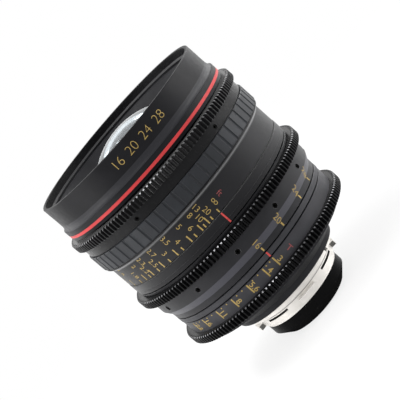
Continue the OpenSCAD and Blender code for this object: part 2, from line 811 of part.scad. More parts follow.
module second_glass() {
    color("lightcyan", 0.4)
        difference() {
            intersection() {
                translate([0, 0, second_top_z - second_glass_r])
                    sphere(r = second_glass_r);
                translate([0, 0, second_seat_z])
                    cylinder(h = second_top_z - second_seat_z, r = second_glass_rr);
            }
            translate([0, 0, second_hollow_z])
                sphere(r = second_hollow_r);
        }
}

// Fixed barrel that the three rings turn on, with a window for each drive key
module main_barrel() {
    color("gray")
        difference() {
            rotate_extrude()
                polygon([[barrel_ir, barrel_z], [barrel_rear_or, barrel_z],
                    [barrel_rear_or, shoulder_z], [barrel_or, shoulder_z],
                    [barrel_or, nose_z], [barrel_ir, nose_z]]);
            key_window(iris_key_angle, iris_turn, iris_key_z, iris_key_z + iris_key_h,
                barrel_ir, barrel_rear_or);
            key_window(zoom_key_angle, -zoom_turn, zoom_key_z, zoom_key_z + key_h,
                barrel_ir, barrel_or);
            key_window(focus_key_angle, focus_turn, focus_key_z, focus_key_z + key_h,
                barrel_ir, barrel_or);
        }
}

module index_sleeve() {
    step_z = index_z + index_rear_l;
    color("dimgray")
        rotate_extrude()
            polygon(outline([[barrel_or + fit, index_z], [index_or - index_rise, index_z, edge],
                [index_or - index_rise, step_z], [index_or, step_z + index_rise],
                [index_or, index_z + index_l, edge], [barrel_or + fit, index_z + index_l]]));
}

module rear_index_ring() {
    color("dimgray")
        rotate_extrude()
            polygon(outline([[barrel_rear_or + fit, rear_index_z], [rear_index_or, rear_index_z, edge],
                [rear_index_or, shoulder_z, edge], [barrel_rear_or + fit, shoulder_z]]));
}

// Guide tube with three straight slots for each sliding cell
module guide_tube() {
    color("darkgray")
        difference() {
            rotate_extrude()
                polygon([[guide_ir, guide_z], [inner_or, guide_z],
                    [inner_or, guide_z + guide_flange_t], [guide_or, guide_z + guide_flange_t],
                    [guide_or, guide_end_z], [guide_ir, guide_end_z]]);
            for (i = [0 : follower_n - 1]) {
                angle = follower_angle + 360 * i / follower_n;
                guide_slot(angle, variator_pin_z, variator_travel);
                guide_slot(angle, compensator_pin_z, -compensator_travel);
                guide_slot(angle, focus_pin_z, focus_travel);
            }
        }
}

module cam_spacer() {
    color("darkgray")
        tube(inner_or, guide_or + fit, spacer_z, spacer_z + spacer_t);
}

// Housing of the iris: a base plate with pivot holes, and a wall with the drive ring's ledge
module iris_housing() {
    color("dimgray")
        difference() {
            rotate_extrude()
                polygon([[aperture_r, plate_z], [inner_or, plate_z], [inner_or, cover_z],
                    [housing_ir, cover_z], [housing_ir, housing_ledge_z],
                    [ledge_r, housing_ledge_z], [ledge_r, plate_z + plate_t],
                    [aperture_r, plate_z + plate_t]]);
            for (i = [0 : blade_n - 1]) {
                rotate(360 * i / blade_n)
                    translate([pivot_circle_r, 0, plate_z - cut])
                        cylinder(h = plate_t + 2 * cut, r = pivot_pin_r + pin_play, $fn = small_fn);
            }
            key_window(iris_key_angle, iris_turn, iris_key_z, iris_key_z + iris_key_h + cut,
                housing_ir, inner_or);
        }
}

module iris_cover() {
    color("dimgray")
        tube(inner_or, pivot_circle_r - ear_r, cover_z, guide_z);
}

// Rear body: a straight end, a turned line, a cone and the disc behind the iris gear
module rear_body() {
    bore_r = spigot_d / 2 + fit;
    color("dimgray")
        difference() {
            rotate_extrude()
                polygon(outline([[bore_r, body_z], [body_d / 2, body_z, edge], [body_d / 2, body_line_z],
                    [body_d / 2 - body_line_w, body_line_z], [body_d / 2 - body_line_w, cone_z],
                    [cone_small_d / 2, cone_z], [cone_large_d / 2, disc_z],
                    [body_disc_d / 2, disc_z, edge], [body_disc_d / 2, barrel_z, edge], [inner_or, barrel_z],
                    [inner_or, plate_z], [relay_bore_r, plate_z], [relay_bore_r, relay_z],
                    [bore_r, relay_z]]));
            for (i = [0 : mount_screw_n - 1]) {
                rotate(mount_screw_angle + 360 * i / mount_screw_n)
                    translate([mount_screw_circle_r, 0, body_z - cut])
                        cylinder(h = cut + mount_screw_l - flange_t + mount_screw_head_l
                            - shim_t + 2 * end_play, r = mount_screw_d / 2 + fit, $fn = small_fn);
            }
        }
}

module relay_cell() {
    small_r = relay_small_d / 2;
    glass_r = relay_glass_d / 2;
    end_z = plate_z - end_play;
    color("dimgray")
        rotate_extrude()
            polygon([[small_r - cell_lip, relay_z + lip_t / 2], [small_r, relay_z],
                [relay_bore_r - fit, relay_z], [relay_bore_r - fit, end_z], [glass_r + fit, end_z],
                [glass_r + fit, relay_lip_z], [small_r + fit, relay_lip_z],
                [small_r + fit, relay_z + lip_t], [small_r - cell_lip, relay_z + lip_t]]);
}

module relay_glass() {
    color("lightcyan", 0.4)
        glass(relay_glass_d / 2, relay_lip_z, relay_edge, -relay_r * 4 / 3, relay_r * 2);
}

module relay_small_glass() {
    color("lightcyan", 0.4)
        glass(relay_small_d / 2, relay_z + lip_t, relay_small_edge, relay_r * 3 / 2, -relay_r * 2);
}

module mount_shim() {
    color("goldenrod")
        difference() {
            tube(flange_r, spigot_d / 2 + fit, shim_z, body_z);
            for (i = [0 : mount_screw_n - 1]) {
                rotate(mount_screw_angle + 360 * i / mount_screw_n)
                    translate([mount_screw_circle_r, 0, shim_z - cut])
                        cylinder(h = shim_t + 2 * cut, r = mount_screw_d / 2 + fit, $fn = small_fn);
            }
            radial_block(notch_w, flange_r - notch_depth, flange_r + cut, notch_angle,
                shim_z - cut, body_z + cut);
        }
}

// Bayonet mount: tube, tabs, slotted neck and screwed flange
module bayonet_mount() {
    tube_r = tube_d / 2;
    color("silver")
        difference() {
            union() {
                rotate_extrude()
                    polygon(outline([[mount_bore_d / 2, bright_z], [tube_r, bright_z], [tube_r, 0],
                        [neck_d / 2, 0], [neck_d / 2, flange_z], [flange_r, flange_z, edge],
                        [flange_r, shim_z],
                        [spigot_d / 2, shim_z], [spigot_d / 2, body_z + spigot_l],
                        [mount_bore_d / 2, body_z + spigot_l]]));
                for (i = [0 : tab_n - 1]) {
                    rotate(index_angle + 360 * i / tab_n - tab_span / 2)
                        rotate_extrude(angle = tab_span)
                            translate([tube_r, 0])
                                square([tab_d / 2 - tube_r, tab_t]);
                }
            }
            for (i = [0 : tab_n - 1]) {
                rotate(index_angle + 360 * (i + 1 / 2) / tab_n - slot_span / 2)
                    rotate_extrude(angle = slot_span)
                        translate([slot_floor_d / 2, slot_back])
                            square([(neck_d - slot_floor_d) / 2 + cut, slot_w]);
            }
            radial_block(notch_w, flange_r - notch_depth, flange_r + cut, notch_angle,
                flange_z - cut, shim_z + cut);
            for (i = [0 : mount_screw_n - 1]) {
                rotate(mount_screw_angle + 360 * i / mount_screw_n)
                    translate([mount_screw_circle_r, 0, 0]) {
                        translate([0, 0, flange_z - cut])
                            cylinder(h = flange_t + 2 * cut, r = mount_screw_d / 2 + fit, $fn = small_fn);
                        translate([0, 0, flange_z - cut])
                            cylinder(h = cut + mount_screw_head_l, r = mount_screw_head_d / 2 + fit,
                                $fn = small_fn);
                    }
            }
        }
}

module mount_screws() {
    color("dimgray")
        for (i = [0 : mount_screw_n - 1]) {
            rotate(mount_screw_angle + 360 * i / mount_screw_n)
                translate([mount_screw_circle_r, 0, flange_z]) {
                    difference() {
                        cylinder(h = mount_screw_head_l, r = mount_screw_head_d / 2, $fn = small_fn);
                        translate([0, 0, -cut])
                            cylinder(h = cut + mount_screw_head_l / 2, r = mount_screw_d / 3, $fn = 6);
                    }
                    translate([0, 0, mount_screw_head_l])
                        cylinder(h = mount_screw_l, r = mount_screw_d / 2, $fn = small_fn);
                }
        }
}

// Black tube behind the bright mount, with its tapered rim
module rear_tube() {
    glass_r = rear_glass_d / 2;
    color("black")
        rotate_extrude()
            polygon(outline([[tube_nose_d / 2 - tube_rim, tail_z], [tube_nose_d / 2, tail_z, edge],
                [tube_d / 2, black_z], [tube_d / 2, bright_z], [mount_bore_d / 2 - fit, bright_z],
                [mount_bore_d / 2 - fit, shim_z], [glass_r + fit, shim_z],
                [glass_r + fit, rear_seat_z], [glass_r - cell_lip, rear_seat_z],
                [glass_r - cell_lip, rear_seat_z - rear_lip_t]]));
}

module rear_glass() {
    color("lightcyan", 0.4)
        glass(rear_glass_d / 2, rear_seat_z, rear_edge_l, rear_glass_r, 2 * rear_glass_r);
}

// Ring that holds the rear glass by its front face
module rear_glass_ring() {
    radius = rear_glass_d / 2;
    low = edge_start(radius, rear_seat_z, rear_glass_r) + rear_edge_l
        + sag(2 * rear_glass_r, radius) - sag(2 * rear_glass_r, radius - rear_ring_w);
    color("dimgray")
        tube(radius, radius - rear_ring_w, low, low + rear_ring_l);
}

// Sleeve that carries the focus gear, grip and scale
module focus_sleeve() {
    color("gray")
        difference() {
            tube(sleeve_or, ring_ir, focus_z, focus_end_z);
            radial_block(key_w + 2 * key_play, ring_ir - cut, ring_ir + key_seat + fit,
                focus_key_angle, focus_key_z - key_play, focus_key_z + key_h + key_play);
        }
}

module focus_gear() {
    color("black") {
        toothed_ring(sleeve_or, focus_gear_depth, focus_gear_z);
        difference() {
            rotate_extrude()
                polygon(outline([[sleeve_or + fit, grip_line_z], [line_r, grip_line_z],
                    [line_r, focus_band_z], [focus_band_or, focus_band_z, edge],
                    [focus_band_or, focus_gear_z], [sleeve_or + fit, focus_gear_z]]));
            for (i = [0 : focus_screw_n - 1]) {
                radial_pin(focus_screw_d / 2, sleeve_or - cut, focus_band_or + cut,
                    focus_screw_angle + 360 * i / focus_screw_n, focus_screw_z);
            }
        }
    }
}

// Grip ring with round flutes
module focus_grip() {
    color("dimgray")
        difference() {
            rotate_extrude()
                polygon(outline([[sleeve_or + fit, grip_z], [grip_or, grip_z, grip_chamfer],
                    [grip_or, grip_line_z, grip_chamfer], [sleeve_or + fit, grip_line_z]]));
            for (i = [0 : flute_n - 1]) {
                rotate(flute_angle + 360 * i / flute_n)
                    translate([grip_or + flute_r - flute_depth, 0, grip_z - cut])
                        cylinder(h = grip_l + 2 * cut, r = flute_r, $fn = small_fn);
            }
        }
}

// Scale ring with its sloping rim
module focus_scale() {
    color("dimgray")
        rotate_extrude()
            polygon(outline([[sleeve_or + fit, focus_z], [scale_or, focus_z, edge], [scale_or, scale_rim_z],
                [grip_or - rim_drop, grip_groove_z, edge], [line_r, grip_groove_z],
                [line_r, grip_z], [sleeve_or + fit, grip_z]]));
}

module focus_set_screws() {
    set_screws(focus_screw_n, focus_screw_angle, focus_screw_d, sleeve_or + fit, focus_band_or,
        focus_screw_z);
}

module drive_key(angle, low, high, inner_r, outer_r) {
    color("silver")
        radial_block(key_w, inner_r, outer_r, angle, low, high);
}

module focus_key() {
    drive_key(focus_key_angle, focus_key_z, focus_key_z + key_h, cam_or - key_seat, ring_ir + key_seat);
}

// Cam sleeve that drives the focusing cell
module focus_cam() {
    color("darkkhaki")
        difference() {
            tube(cam_or, cam_ir, focus_cam_z, focus_cam_end);
            for (i = [0 : follower_n - 1]) {
                cam_slot(follower_angle + 360 * i / follower_n, focus_pin_z, focus_turn, focus_travel);
            }
            radial_block(key_w + 2 * key_play, cam_or - key_seat - fit, cam_or + cut,
                focus_key_angle, focus_key_z - key_play, focus_key_z + key_h + key_play);
        }
}

module focus_cell() {
    color("dimgray")
        cell(focus_cell_z, focus_cell_z + focus_cell_l, focus_glass_edge, focus_pin_z);
}

module focus_glass() {
    color("lightcyan", 0.4)
        glass(cell_glass_rr, focus_cell_z + lip_t, focus_glass_edge, -cell_glass_r, 2 * cell_glass_r);
}

module focus_followers() {
    followers(focus_pin_z);
}

// Zoom ring with a straight band, a tapered scale and a spigot for its gear
module zoom_ring() {
    color("dimgray")
        difference() {
            rotate_extrude()
                polygon(outline([[ring_ir, zoom_z], [zoom_end_or, zoom_z, edge], [zoom_end_or, zoom_cone_z],
                    [zoom_or, zoom_band_z], [zoom_or, zoom_gear_z], [zoom_seat_r, zoom_gear_z],
                    [zoom_seat_r, lock_z], [zoom_lock_r, lock_z],
                    [zoom_lock_r, lock_z + lock_l], [ring_ir, lock_z + lock_l]]));
            for (i = [0 : zoom_screw_n - 1]) {
                radial_pin(zoom_screw_d / 2, zoom_or - zoom_screw_d, zoom_or + cut,
                    zoom_screw_angle + 360 * i / zoom_screw_n, zoom_screw_z);
            }
            radial_block(key_w + 2 * key_play, ring_ir - cut, ring_ir + key_seat + fit,
                zoom_key_angle, zoom_key_z - key_play, zoom_key_z + key_h + key_play);
        }
}

module zoom_gear() {
    color("black")
        toothed_ring(zoom_seat_r, gear_depth, zoom_gear_z);
}

// Ring that holds the zoom gear on its spigot
module zoom_lock_ring() {
    step_z = lock_z + lock_groove_l;
    color("dimgray")
        rotate_extrude()
            polygon(outline([[zoom_lock_r + fit, lock_z], [zoom_seat_r + lock_hold, lock_z],
                [zoom_seat_r + lock_hold, step_z], [zoom_or + lock_rise, step_z],
                [zoom_or + lock_rise, lock_z + lock_l, edge], [zoom_lock_r + fit, lock_z + lock_l]]));
}

module zoom_set_screws() {
    set_screws(zoom_screw_n, zoom_screw_angle, zoom_screw_d, zoom_or - zoom_screw_d, zoom_or,
        zoom_screw_z);
}

module zoom_key() {
    drive_key(zoom_key_angle, zoom_key_z, zoom_key_z + key_h, cam_or - key_seat, ring_ir + key_seat);
}

// Cam sleeve that drives the variator and the compensator
module zoom_cam() {
    color("darkkhaki")
        difference() {
            tube(cam_or, cam_ir, zoom_cam_z, zoom_cam_end);
            for (i = [0 : follower_n - 1]) {
                angle = follower_angle + 360 * i / follower_n;
                cam_slot(angle, variator_pin_z, -zoom_turn, variator_travel);
                cam_slot(angle, compensator_pin_z, -zoom_turn, -compensator_travel);
            }
            radial_block(key_w + 2 * key_play, cam_or - key_seat - fit, cam_or + cut,
                zoom_key_angle, zoom_key_z - key_play, zoom_key_z + key_h + key_play);
        }
}

module variator_cell() {
    color("dimgray")
        cell(variator_z, variator_z + variator_l, cell_glass_edge, variator_pin_z);
}

module variator_glass() {
    color("lightcyan", 0.4)
        glass(cell_glass_rr, variator_z + lip_t, cell_glass_edge, cell_glass_r, cell_glass_r);
}

module variator_followers() {
    followers(variator_pin_z);
}

module compensator_cell() {
    color("dimgray")
        cell(compensator_z, compensator_z + compensator_l, cell_glass_edge, compensator_pin_z);
}

module compensator_glass() {
    color("lightcyan", 0.4)
        glass(cell_glass_rr, compensator_z + lip_t, cell_glass_edge, -2 * cell_glass_r, 3 * cell_glass_r);
}

module compensator_followers() {
    followers(compensator_pin_z);
}

// Iris ring with its scale band and the spigot for its gear
module iris_ring() {
    color("dimgray")
        difference() {
            rotate_extrude()
                polygon(outline([[iris_ir, iris_z], [iris_seat_r, iris_z], [iris_seat_r, iris_band_z],
                    [iris_or, iris_band_z], [iris_or, iris_band_z + iris_band_l, edge],
                    [iris_ir, iris_band_z + iris_band_l]]));
            radial_block(key_w + 2 * key_play, iris_ir - cut, iris_ir + key_seat + fit,
                iris_key_angle, iris_key_z - key_play, iris_key_z + iris_key_h + key_play);
        }
}

module iris_gear() {
    color("black")
        toothed_ring(iris_seat_r, iris_gear_depth, iris_z);
}

// Where a blade's drive pin stands when the blade has swung by an angle
function drive_pin_at(swing) =
    [pivot_circle_r - lever_l * sin(swing), lever_l * cos(swing)];

// The same place seen from the drive ring, which has turned meanwhile
function slot_point(share, offset) =
    let (p = drive_pin_at(blade_swing * share),
        turn = -iris_turn * share,
        q = drive_pin_at(blade_swing * share + blade_swing / slot_steps),
        step = -iris_turn * share - iris_turn / slot_steps,
        here = [p[0] * cos(turn) - p[1] * sin(turn), p[0] * sin(turn) + p[1] * cos(turn)],
        next = [q[0] * cos(step) - q[1] * sin(step), q[0] * sin(step) + q[1] * cos(step)],
        run_by = next - here,
        side = [-run_by[1], run_by[0]] / norm(run_by))
    here + side * offset;

// Drive ring with one spiral slot for each blade's drive pin
module iris_drive_ring() {
    half = drive_pin_r + 2 * pin_play;
    spare = 1 / slot_steps / 2;
    color("darkgray")
        difference() {
            translate([0, 0, drive_z])
                linear_extrude(height = drive_t)
                    difference() {
                        circle(r = housing_ir - run);
                        circle(r = aperture_r + cell_lip);
                        for (i = [0 : blade_n - 1]) {
                            rotate(360 * i / blade_n)
                                polygon([
                                    for (k = [0 : slot_steps + 1]) slot_point((k - 1 / 2) / slot_steps, half),
                                    for (k = [slot_steps + 1 : -1 : 0]) slot_point((k - 1 / 2) / slot_steps, -half)]);
                        }
                    }
            radial_block(key_w + 2 * key_play, housing_ir - key_seat - run - fit, inner_or,
                iris_key_angle, drive_z - cut, drive_z + drive_t + cut);
        }
}

module iris_key() {
    drive_key(iris_key_angle, iris_key_z, iris_key_z + iris_key_h,
        housing_ir - key_seat - run, iris_ir + key_seat);
}

// One iris blade: a crescent with a pivot pin below and a drive pin above
module iris_blade(number) {
    low = blade_z + number * blade_pitch;
    pin = drive_pin_at(0);
    rise = atan2(pin[1], pin[0]);
    steps = slot_steps;
    color("black")
        rotate(360 * number / blade_n) {
            translate([0, 0, low])
                linear_extrude(height = blade_t) {
                    polygon([
                        for (k = [0 : steps]) let (a = blade_span * k / steps) blade_or * [cos(a), sin(a)],
                        for (k = [steps : -1 : 0]) let (a = blade_span * k / steps) blade_ir * [cos(a), sin(a)]]);
                    polygon([blade_ir * [1, 0], [pivot_circle_r, -ear_r], [pivot_circle_r + ear_r, 0],
                        pin + [ear_r, 0], pin + [0, ear_r],
                        blade_or * [cos(2 * rise), sin(2 * rise)],
                        (blade_ir + blade_or) / 2 * [cos(2 * rise), sin(2 * rise)]]);
                    translate([pivot_circle_r, 0])
                        circle(r = ear_r, $fn = small_fn);
                    translate(pin)
                        circle(r = ear_r, $fn = small_fn);
                }
            translate([pivot_circle_r, 0, plate_z + end_play])
                cylinder(h = low + blade_t - plate_z - end_play, r = pivot_pin_r, $fn = small_fn);
            translate([pin[0], pin[1], low])
                cylinder(h = drive_z + drive_t - end_play - low, r = drive_pin_r, $fn = small_fn);
        }
}

module iris_blade_1() { iris_blade(0); }
module iris_blade_2() { iris_blade(1); }
module iris_blade_3() { iris_blade(2); }
module iris_blade_4() { iris_blade(3); }
module iris_blade_5() { iris_blade(4); }
module iris_blade_6() { iris_blade(5); }
module iris_blade_7() { iris_blade(6); }
module iris_blade_8() { iris_blade(7); }
module iris_blade_9() { iris_blade(8); }

front_hood();
red_ring();
front_funnel();
front_cell();
front_glass();
second_glass();
main_barrel();
index_sleeve();
rear_index_ring();
guide_tube();
cam_spacer();
iris_housing();
iris_cover();
rear_body();
relay_cell();
relay_glass();
relay_small_glass();
mount_shim();
bayonet_mount();
mount_screws();
rear_tube();
rear_glass();
rear_glass_ring();
focus_sleeve();
focus_gear();
focus_grip();
focus_scale();
focus_set_screws();
focus_key();
focus_cam();
focus_cell();
focus_glass();
focus_followers();
zoom_ring();
zoom_gear();
zoom_lock_ring();
zoom_set_screws();
zoom_key();
zoom_cam();
variator_cell();
variator_glass();
variator_followers();
compensator_cell();
compensator_glass();
compensator_followers();
iris_ring();
iris_gear();
iris_drive_ring();
iris_key();
iris_blade_1();
iris_blade_2();
iris_blade_3();
iris_blade_4();
iris_blade_5();
iris_blade_6();
iris_blade_7();
iris_blade_8();
iris_blade_9();
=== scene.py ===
"""Looks of a wide cinema zoom lens.

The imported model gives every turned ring, gear, glass and screw. This script dresses them in
anodised, steel, brass and glass finishes, and adds the painted scales, the index lines, the
screw rims and the ridges of the front bore.
"""

import logging
import math
from abc import ABC, abstractmethod
from dataclasses import dataclass
from enum import Enum

import bmesh
import bpy
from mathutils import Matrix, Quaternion, Vector


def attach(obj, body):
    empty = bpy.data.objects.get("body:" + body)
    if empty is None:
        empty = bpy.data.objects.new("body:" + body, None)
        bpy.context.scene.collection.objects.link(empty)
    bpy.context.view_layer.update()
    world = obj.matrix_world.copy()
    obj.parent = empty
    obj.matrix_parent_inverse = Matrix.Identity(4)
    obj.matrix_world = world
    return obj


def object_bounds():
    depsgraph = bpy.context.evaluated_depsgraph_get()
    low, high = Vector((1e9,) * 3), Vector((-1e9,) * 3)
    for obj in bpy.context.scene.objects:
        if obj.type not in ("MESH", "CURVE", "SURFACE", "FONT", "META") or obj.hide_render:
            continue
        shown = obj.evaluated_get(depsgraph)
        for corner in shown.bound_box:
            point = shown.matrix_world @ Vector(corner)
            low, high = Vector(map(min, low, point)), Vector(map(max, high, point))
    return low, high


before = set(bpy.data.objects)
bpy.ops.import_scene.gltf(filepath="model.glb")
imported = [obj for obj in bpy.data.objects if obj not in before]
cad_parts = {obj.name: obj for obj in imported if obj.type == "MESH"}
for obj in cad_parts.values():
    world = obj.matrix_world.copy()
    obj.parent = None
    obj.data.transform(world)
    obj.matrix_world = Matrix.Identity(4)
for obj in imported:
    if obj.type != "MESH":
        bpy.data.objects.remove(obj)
CAD_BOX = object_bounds()

MM = 0.001
INDEX_ANGLE = math.radians(-90)
NOISE_LOW, NOISE_HIGH = 0.3, 0.7
WELD = 1e-5
TOUCH = 1e-7
LOG = logging.getLogger("lens")

Colour = tuple[float, float, float]
Place = tuple[float, float, float]
Point = tuple[float, float]
Value = bpy.types.NodeSocket | bpy.types.ID | float | tuple[float, ...]


class Control(Enum):
    """The bodies that the scale marks ride on."""

    BARREL = "barrel"
    FOCUS = "focus_control"
    ZOOM = "zoom_control"
    IRIS = "iris_control"


class Reading(Enum):
    """The way that a figure reads on a ring."""

    REARWARD = "from the front glass towards the mount"
    ROUND = "round the barrel, upright with the front glass up"


class Stand(Enum):
    """The point of a figure that stands at its place."""

    MIDDLE = "middle"
    FOOT = "foot"


def add_object(name: str, data: bpy.types.ID) -> bpy.types.Object:
    """Adds an object to the scene.

    Args:
        name: The object's name.
        data: Its mesh, lamp, camera or text.

    Returns:
        The new object.
    """
    thing = bpy.data.objects.new(name, data)
    bpy.context.scene.collection.objects.link(thing)
    return thing


# Node trees


class NodeTree:
    """A node tree, with short calls for its nodes and links."""

    def __init__(self, tree: bpy.types.NodeTree) -> None:
        """Takes over a tree and clears it.

        Args:
            tree: The tree.
        """
        self.tree = tree
        self.tree.nodes.clear()

    def add(self, kind: str, options: dict[str, object] | None = None, **sockets: Value) -> bpy.types.Node:
        """Adds a node.

        Args:
            kind: Blender's name of the node type.
            options: The node's own settings.
            **sockets: Input names with spaces as underscores, and a socket or value for each.

        Returns:
            The new node.
        """
        node = self.tree.nodes.new(kind)
        for name, value in (options or {}).items():
            setattr(node, name, value)
        for name, value in sockets.items():
            self.feed(node.inputs[name.replace("_", " ")], value)
        return node

    def feed(self, socket: bpy.types.NodeSocket, value: Value) -> None:
        """Links a socket to a socket, or sets it to a value.

        Args:
            socket: The input to feed.
            value: A socket, a number, a colour or a material.
        """
        if isinstance(value, bpy.types.NodeSocket):
            self.tree.links.new(value, socket)
        else:
            socket.default_value = value

    def math(self, operation: str, first: Value, second: Value = 0.0) -> bpy.types.NodeSocket:
        """Adds a Math node.

        Args:
            operation: The node's operation.
            first: A socket or a number.
            second: A socket or a number.

        Returns:
            The result's socket.
        """
        node = self.add("ShaderNodeMath", {"operation": operation})
        self.feed(node.inputs[0], first)
        self.feed(node.inputs[1], second)
        return node.outputs[0]

    def looked_at(self) -> bpy.types.NodeSocket:
        """Adds the share of a ray that the camera, metal or glass looks along.

        Returns:
            The socket that is 1 for such a ray and 0 for the others.
        """
        rays = self.add("ShaderNodeLightPath").outputs
        reflected = self.math("MAXIMUM", rays["Is Glossy Ray"], rays["Is Transmission Ray"])
        return self.math("MAXIMUM", rays["Is Camera Ray"], reflected)


@dataclass(frozen=True)
class Blotches:
    """A noise: the size of one blotch, in metres, and the number of finer layers in it."""

    size: float
    detail: float = 2.0


class Graph(NodeTree):
    """A material's node tree, with the places on a turned piece."""

    wander_pitches: float = 3.0
    wander_size_pitches: float = 40.0

    def __init__(self, name: str) -> None:
        """Starts an empty material.

        Args:
            name: The material's name.
        """
        self.material = bpy.data.materials.new(name)
        self.material.use_nodes = True
        super().__init__(self.material.node_tree)
        self.place = self.add("ShaderNodeTexCoord").outputs["Object"]
        parts = self.add("ShaderNodeSeparateXYZ", Vector=self.place).outputs
        self.height = parts["Z"]
        self.aside = self.math("ABSOLUTE", parts["X"])
        squares = self.math("ADD", self.math("POWER", parts["X"], 2.0), self.math("POWER", parts["Y"], 2.0))
        self.across = self.math("SQRT", squares)

    def noise(self, blotches: Blotches) -> bpy.types.NodeSocket:
        """Adds a noise texture on Object coordinates.

        Args:
            blotches: The noise's size and detail.

        Returns:
            The noise, from 0 to 1.
        """
        node = self.add("ShaderNodeTexNoise", Vector=self.place, Scale=1 / blotches.size, Detail=blotches.detail)
        return node.outputs["Fac"]

    def spread(self, blotches: Blotches, low: float, high: float) -> bpy.types.NodeSocket:
        """Adds a noise, stretched from its usual middle range to the range given.

        Args:
            blotches: The noise's size and detail.
            low: The least value.
            high: The greatest value.

        Returns:
            The stretched value.
        """
        node = self.add("ShaderNodeMapRange", Value=self.noise(blotches), From_Min=NOISE_LOW, From_Max=NOISE_HIGH,
                        To_Min=low, To_Max=high)
        return node.outputs["Result"]

    def between(self, value: bpy.types.NodeSocket, low: float, high: float) -> bpy.types.NodeSocket:
        """Adds a test whether a value lies between two bounds.

        Args:
            value: The value's socket.
            low: The lower bound.
            high: The upper bound.

        Returns:
            The socket that is 1 between the bounds and 0 outside them.
        """
        return self.math("MULTIPLY", self.math("GREATER_THAN", value, low), self.math("LESS_THAN", value, high))

    def blend(self, factor: bpy.types.NodeSocket, first: Value, second: Value) -> bpy.types.NodeSocket:
        """Mixes two colours.

        Args:
            factor: The share of the second colour.
            first: The first colour, linear, or its socket.
            second: The second colour, linear, or its socket.

        Returns:
            The mixed colour's socket.
        """
        node = self.add("ShaderNodeMix", {"data_type": "RGBA"}, Factor=factor)
        for name, colour in (("A", first), ("B", second)):
            socket = next(s for s in node.inputs if s.name == name and s.type == "RGBA")
            self.feed(socket, colour if isinstance(colour, bpy.types.NodeSocket) else (*colour, 1))
        return next(s for s in node.outputs if s.type == "RGBA")

    def turned(self, pitch: float) -> bpy.types.NodeSocket:
        """Makes the fine grooves that a lathe leaves, along the axis and across end faces.

        Args:
            pitch: The distance from groove to groove, in metres.

        Returns:
            The grooves' height, from -1 to 1.
        """
        slow = self.noise(Blotches(pitch * self.wander_size_pitches))
        wander = self.math("MULTIPLY", slow, pitch * self.wander_pitches)
        along = self.math("ADD", self.math("ADD", self.height, self.across), wander)
        return self.math("SINE", self.math("MULTIPLY", along, 2 * math.pi / pitch))

    def bump(self, height: bpy.types.NodeSocket, depth: float) -> bpy.types.NodeSocket:
        """Adds a bump.

        Args:
            height: The height map.
            depth: The depth of one unit of height, in metres.

        Returns:
            The normal's socket.
        """
        return self.add("ShaderNodeBump", Distance=depth, Height=height).outputs["Normal"]

    def shade(self, **sockets: Value) -> bpy.types.Material:
        """Ends the material in one Principled shader.

        Args:
            **sockets: Input names with spaces as underscores, and a socket or value for each.

        Returns:
            The material.
        """
        shader = self.add("ShaderNodeBsdfPrincipled", **sockets)
        self.add("ShaderNodeOutputMaterial", Surface=shader.outputs[0])
        return self.material


# Finishes


def scaled(colour: Colour, share: float) -> Colour:
    """Returns the colour times a share."""
    return tuple(min(1.0, part * share) for part in colour)


class Zone(ABC):
    """A part of a turned surface that looks different from the rest."""

    colour: Colour
    metallic: float

    @abstractmethod
    def mask(self, graph: Graph) -> bpy.types.NodeSocket:
        """Returns the socket that is 1 inside the zone and 0 outside it."""


@dataclass(frozen=True)
class ChamferGlintZone(Zone):
    """The chamfered front ends of a gear's teeth, made bright metal as a painted glint."""

    front: float
    tip: float
    chamfer: float = 0.6 * MM
    margin: float = 0.05 * MM
    colour: Colour = (0.12, 0.12, 0.125)
    metallic: float = 1.0

    def mask(self, graph: Graph) -> bpy.types.NodeSocket:
        """Returns the socket that is 1 on the chamfers and 0 elsewhere."""
        line = self.tip - self.chamfer - self.margin + self.front
        return graph.math("GREATER_THAN", graph.math("ADD", graph.across, graph.height), line)


@dataclass(frozen=True)
class BandZone(Zone):
    """A band of a turned piece, between two heights and two radii, and further aside than a distance."""

    low: float
    high: float
    colour: Colour
    metallic: float = 0.0
    inner: float = 0.0
    outer: float = 80 * MM
    aside: float = 0.0

    def mask(self, graph: Graph) -> bpy.types.NodeSocket:
        """Marks the band.

        Args:
            graph: The material's graph.

        Returns:
            The socket that is 1 inside the band and 0 elsewhere.
        """
        inside = graph.math("MULTIPLY", graph.between(graph.height, self.low, self.high),
                            graph.between(graph.across, self.inner, self.outer))
        if self.aside:
            inside = graph.math("MULTIPLY", inside, graph.math("GREATER_THAN", graph.aside, self.aside))
        return inside


def add_zones(graph: Graph, zones: tuple[Zone, ...], base: bpy.types.NodeSocket,
              metallic: Value) -> tuple[bpy.types.NodeSocket, Value]:
    """Lays zones over a surface, each over those before it.

    Args:
        graph: The material's graph.
        zones: The zones.
        base: The surface's own colour.
        metallic: The surface's own metallic share.

    Returns:
        The colour and the metallic share with the zones.
    """
    for zone in zones:
        inside = zone.mask(graph)
        outside = graph.math("MULTIPLY", graph.math("SUBTRACT", 1.0, inside), metallic)
        base = graph.blend(inside, base, zone.colour)
        metallic = graph.math("ADD", outside, graph.math("MULTIPLY", inside, zone.metallic))
    return base, metallic


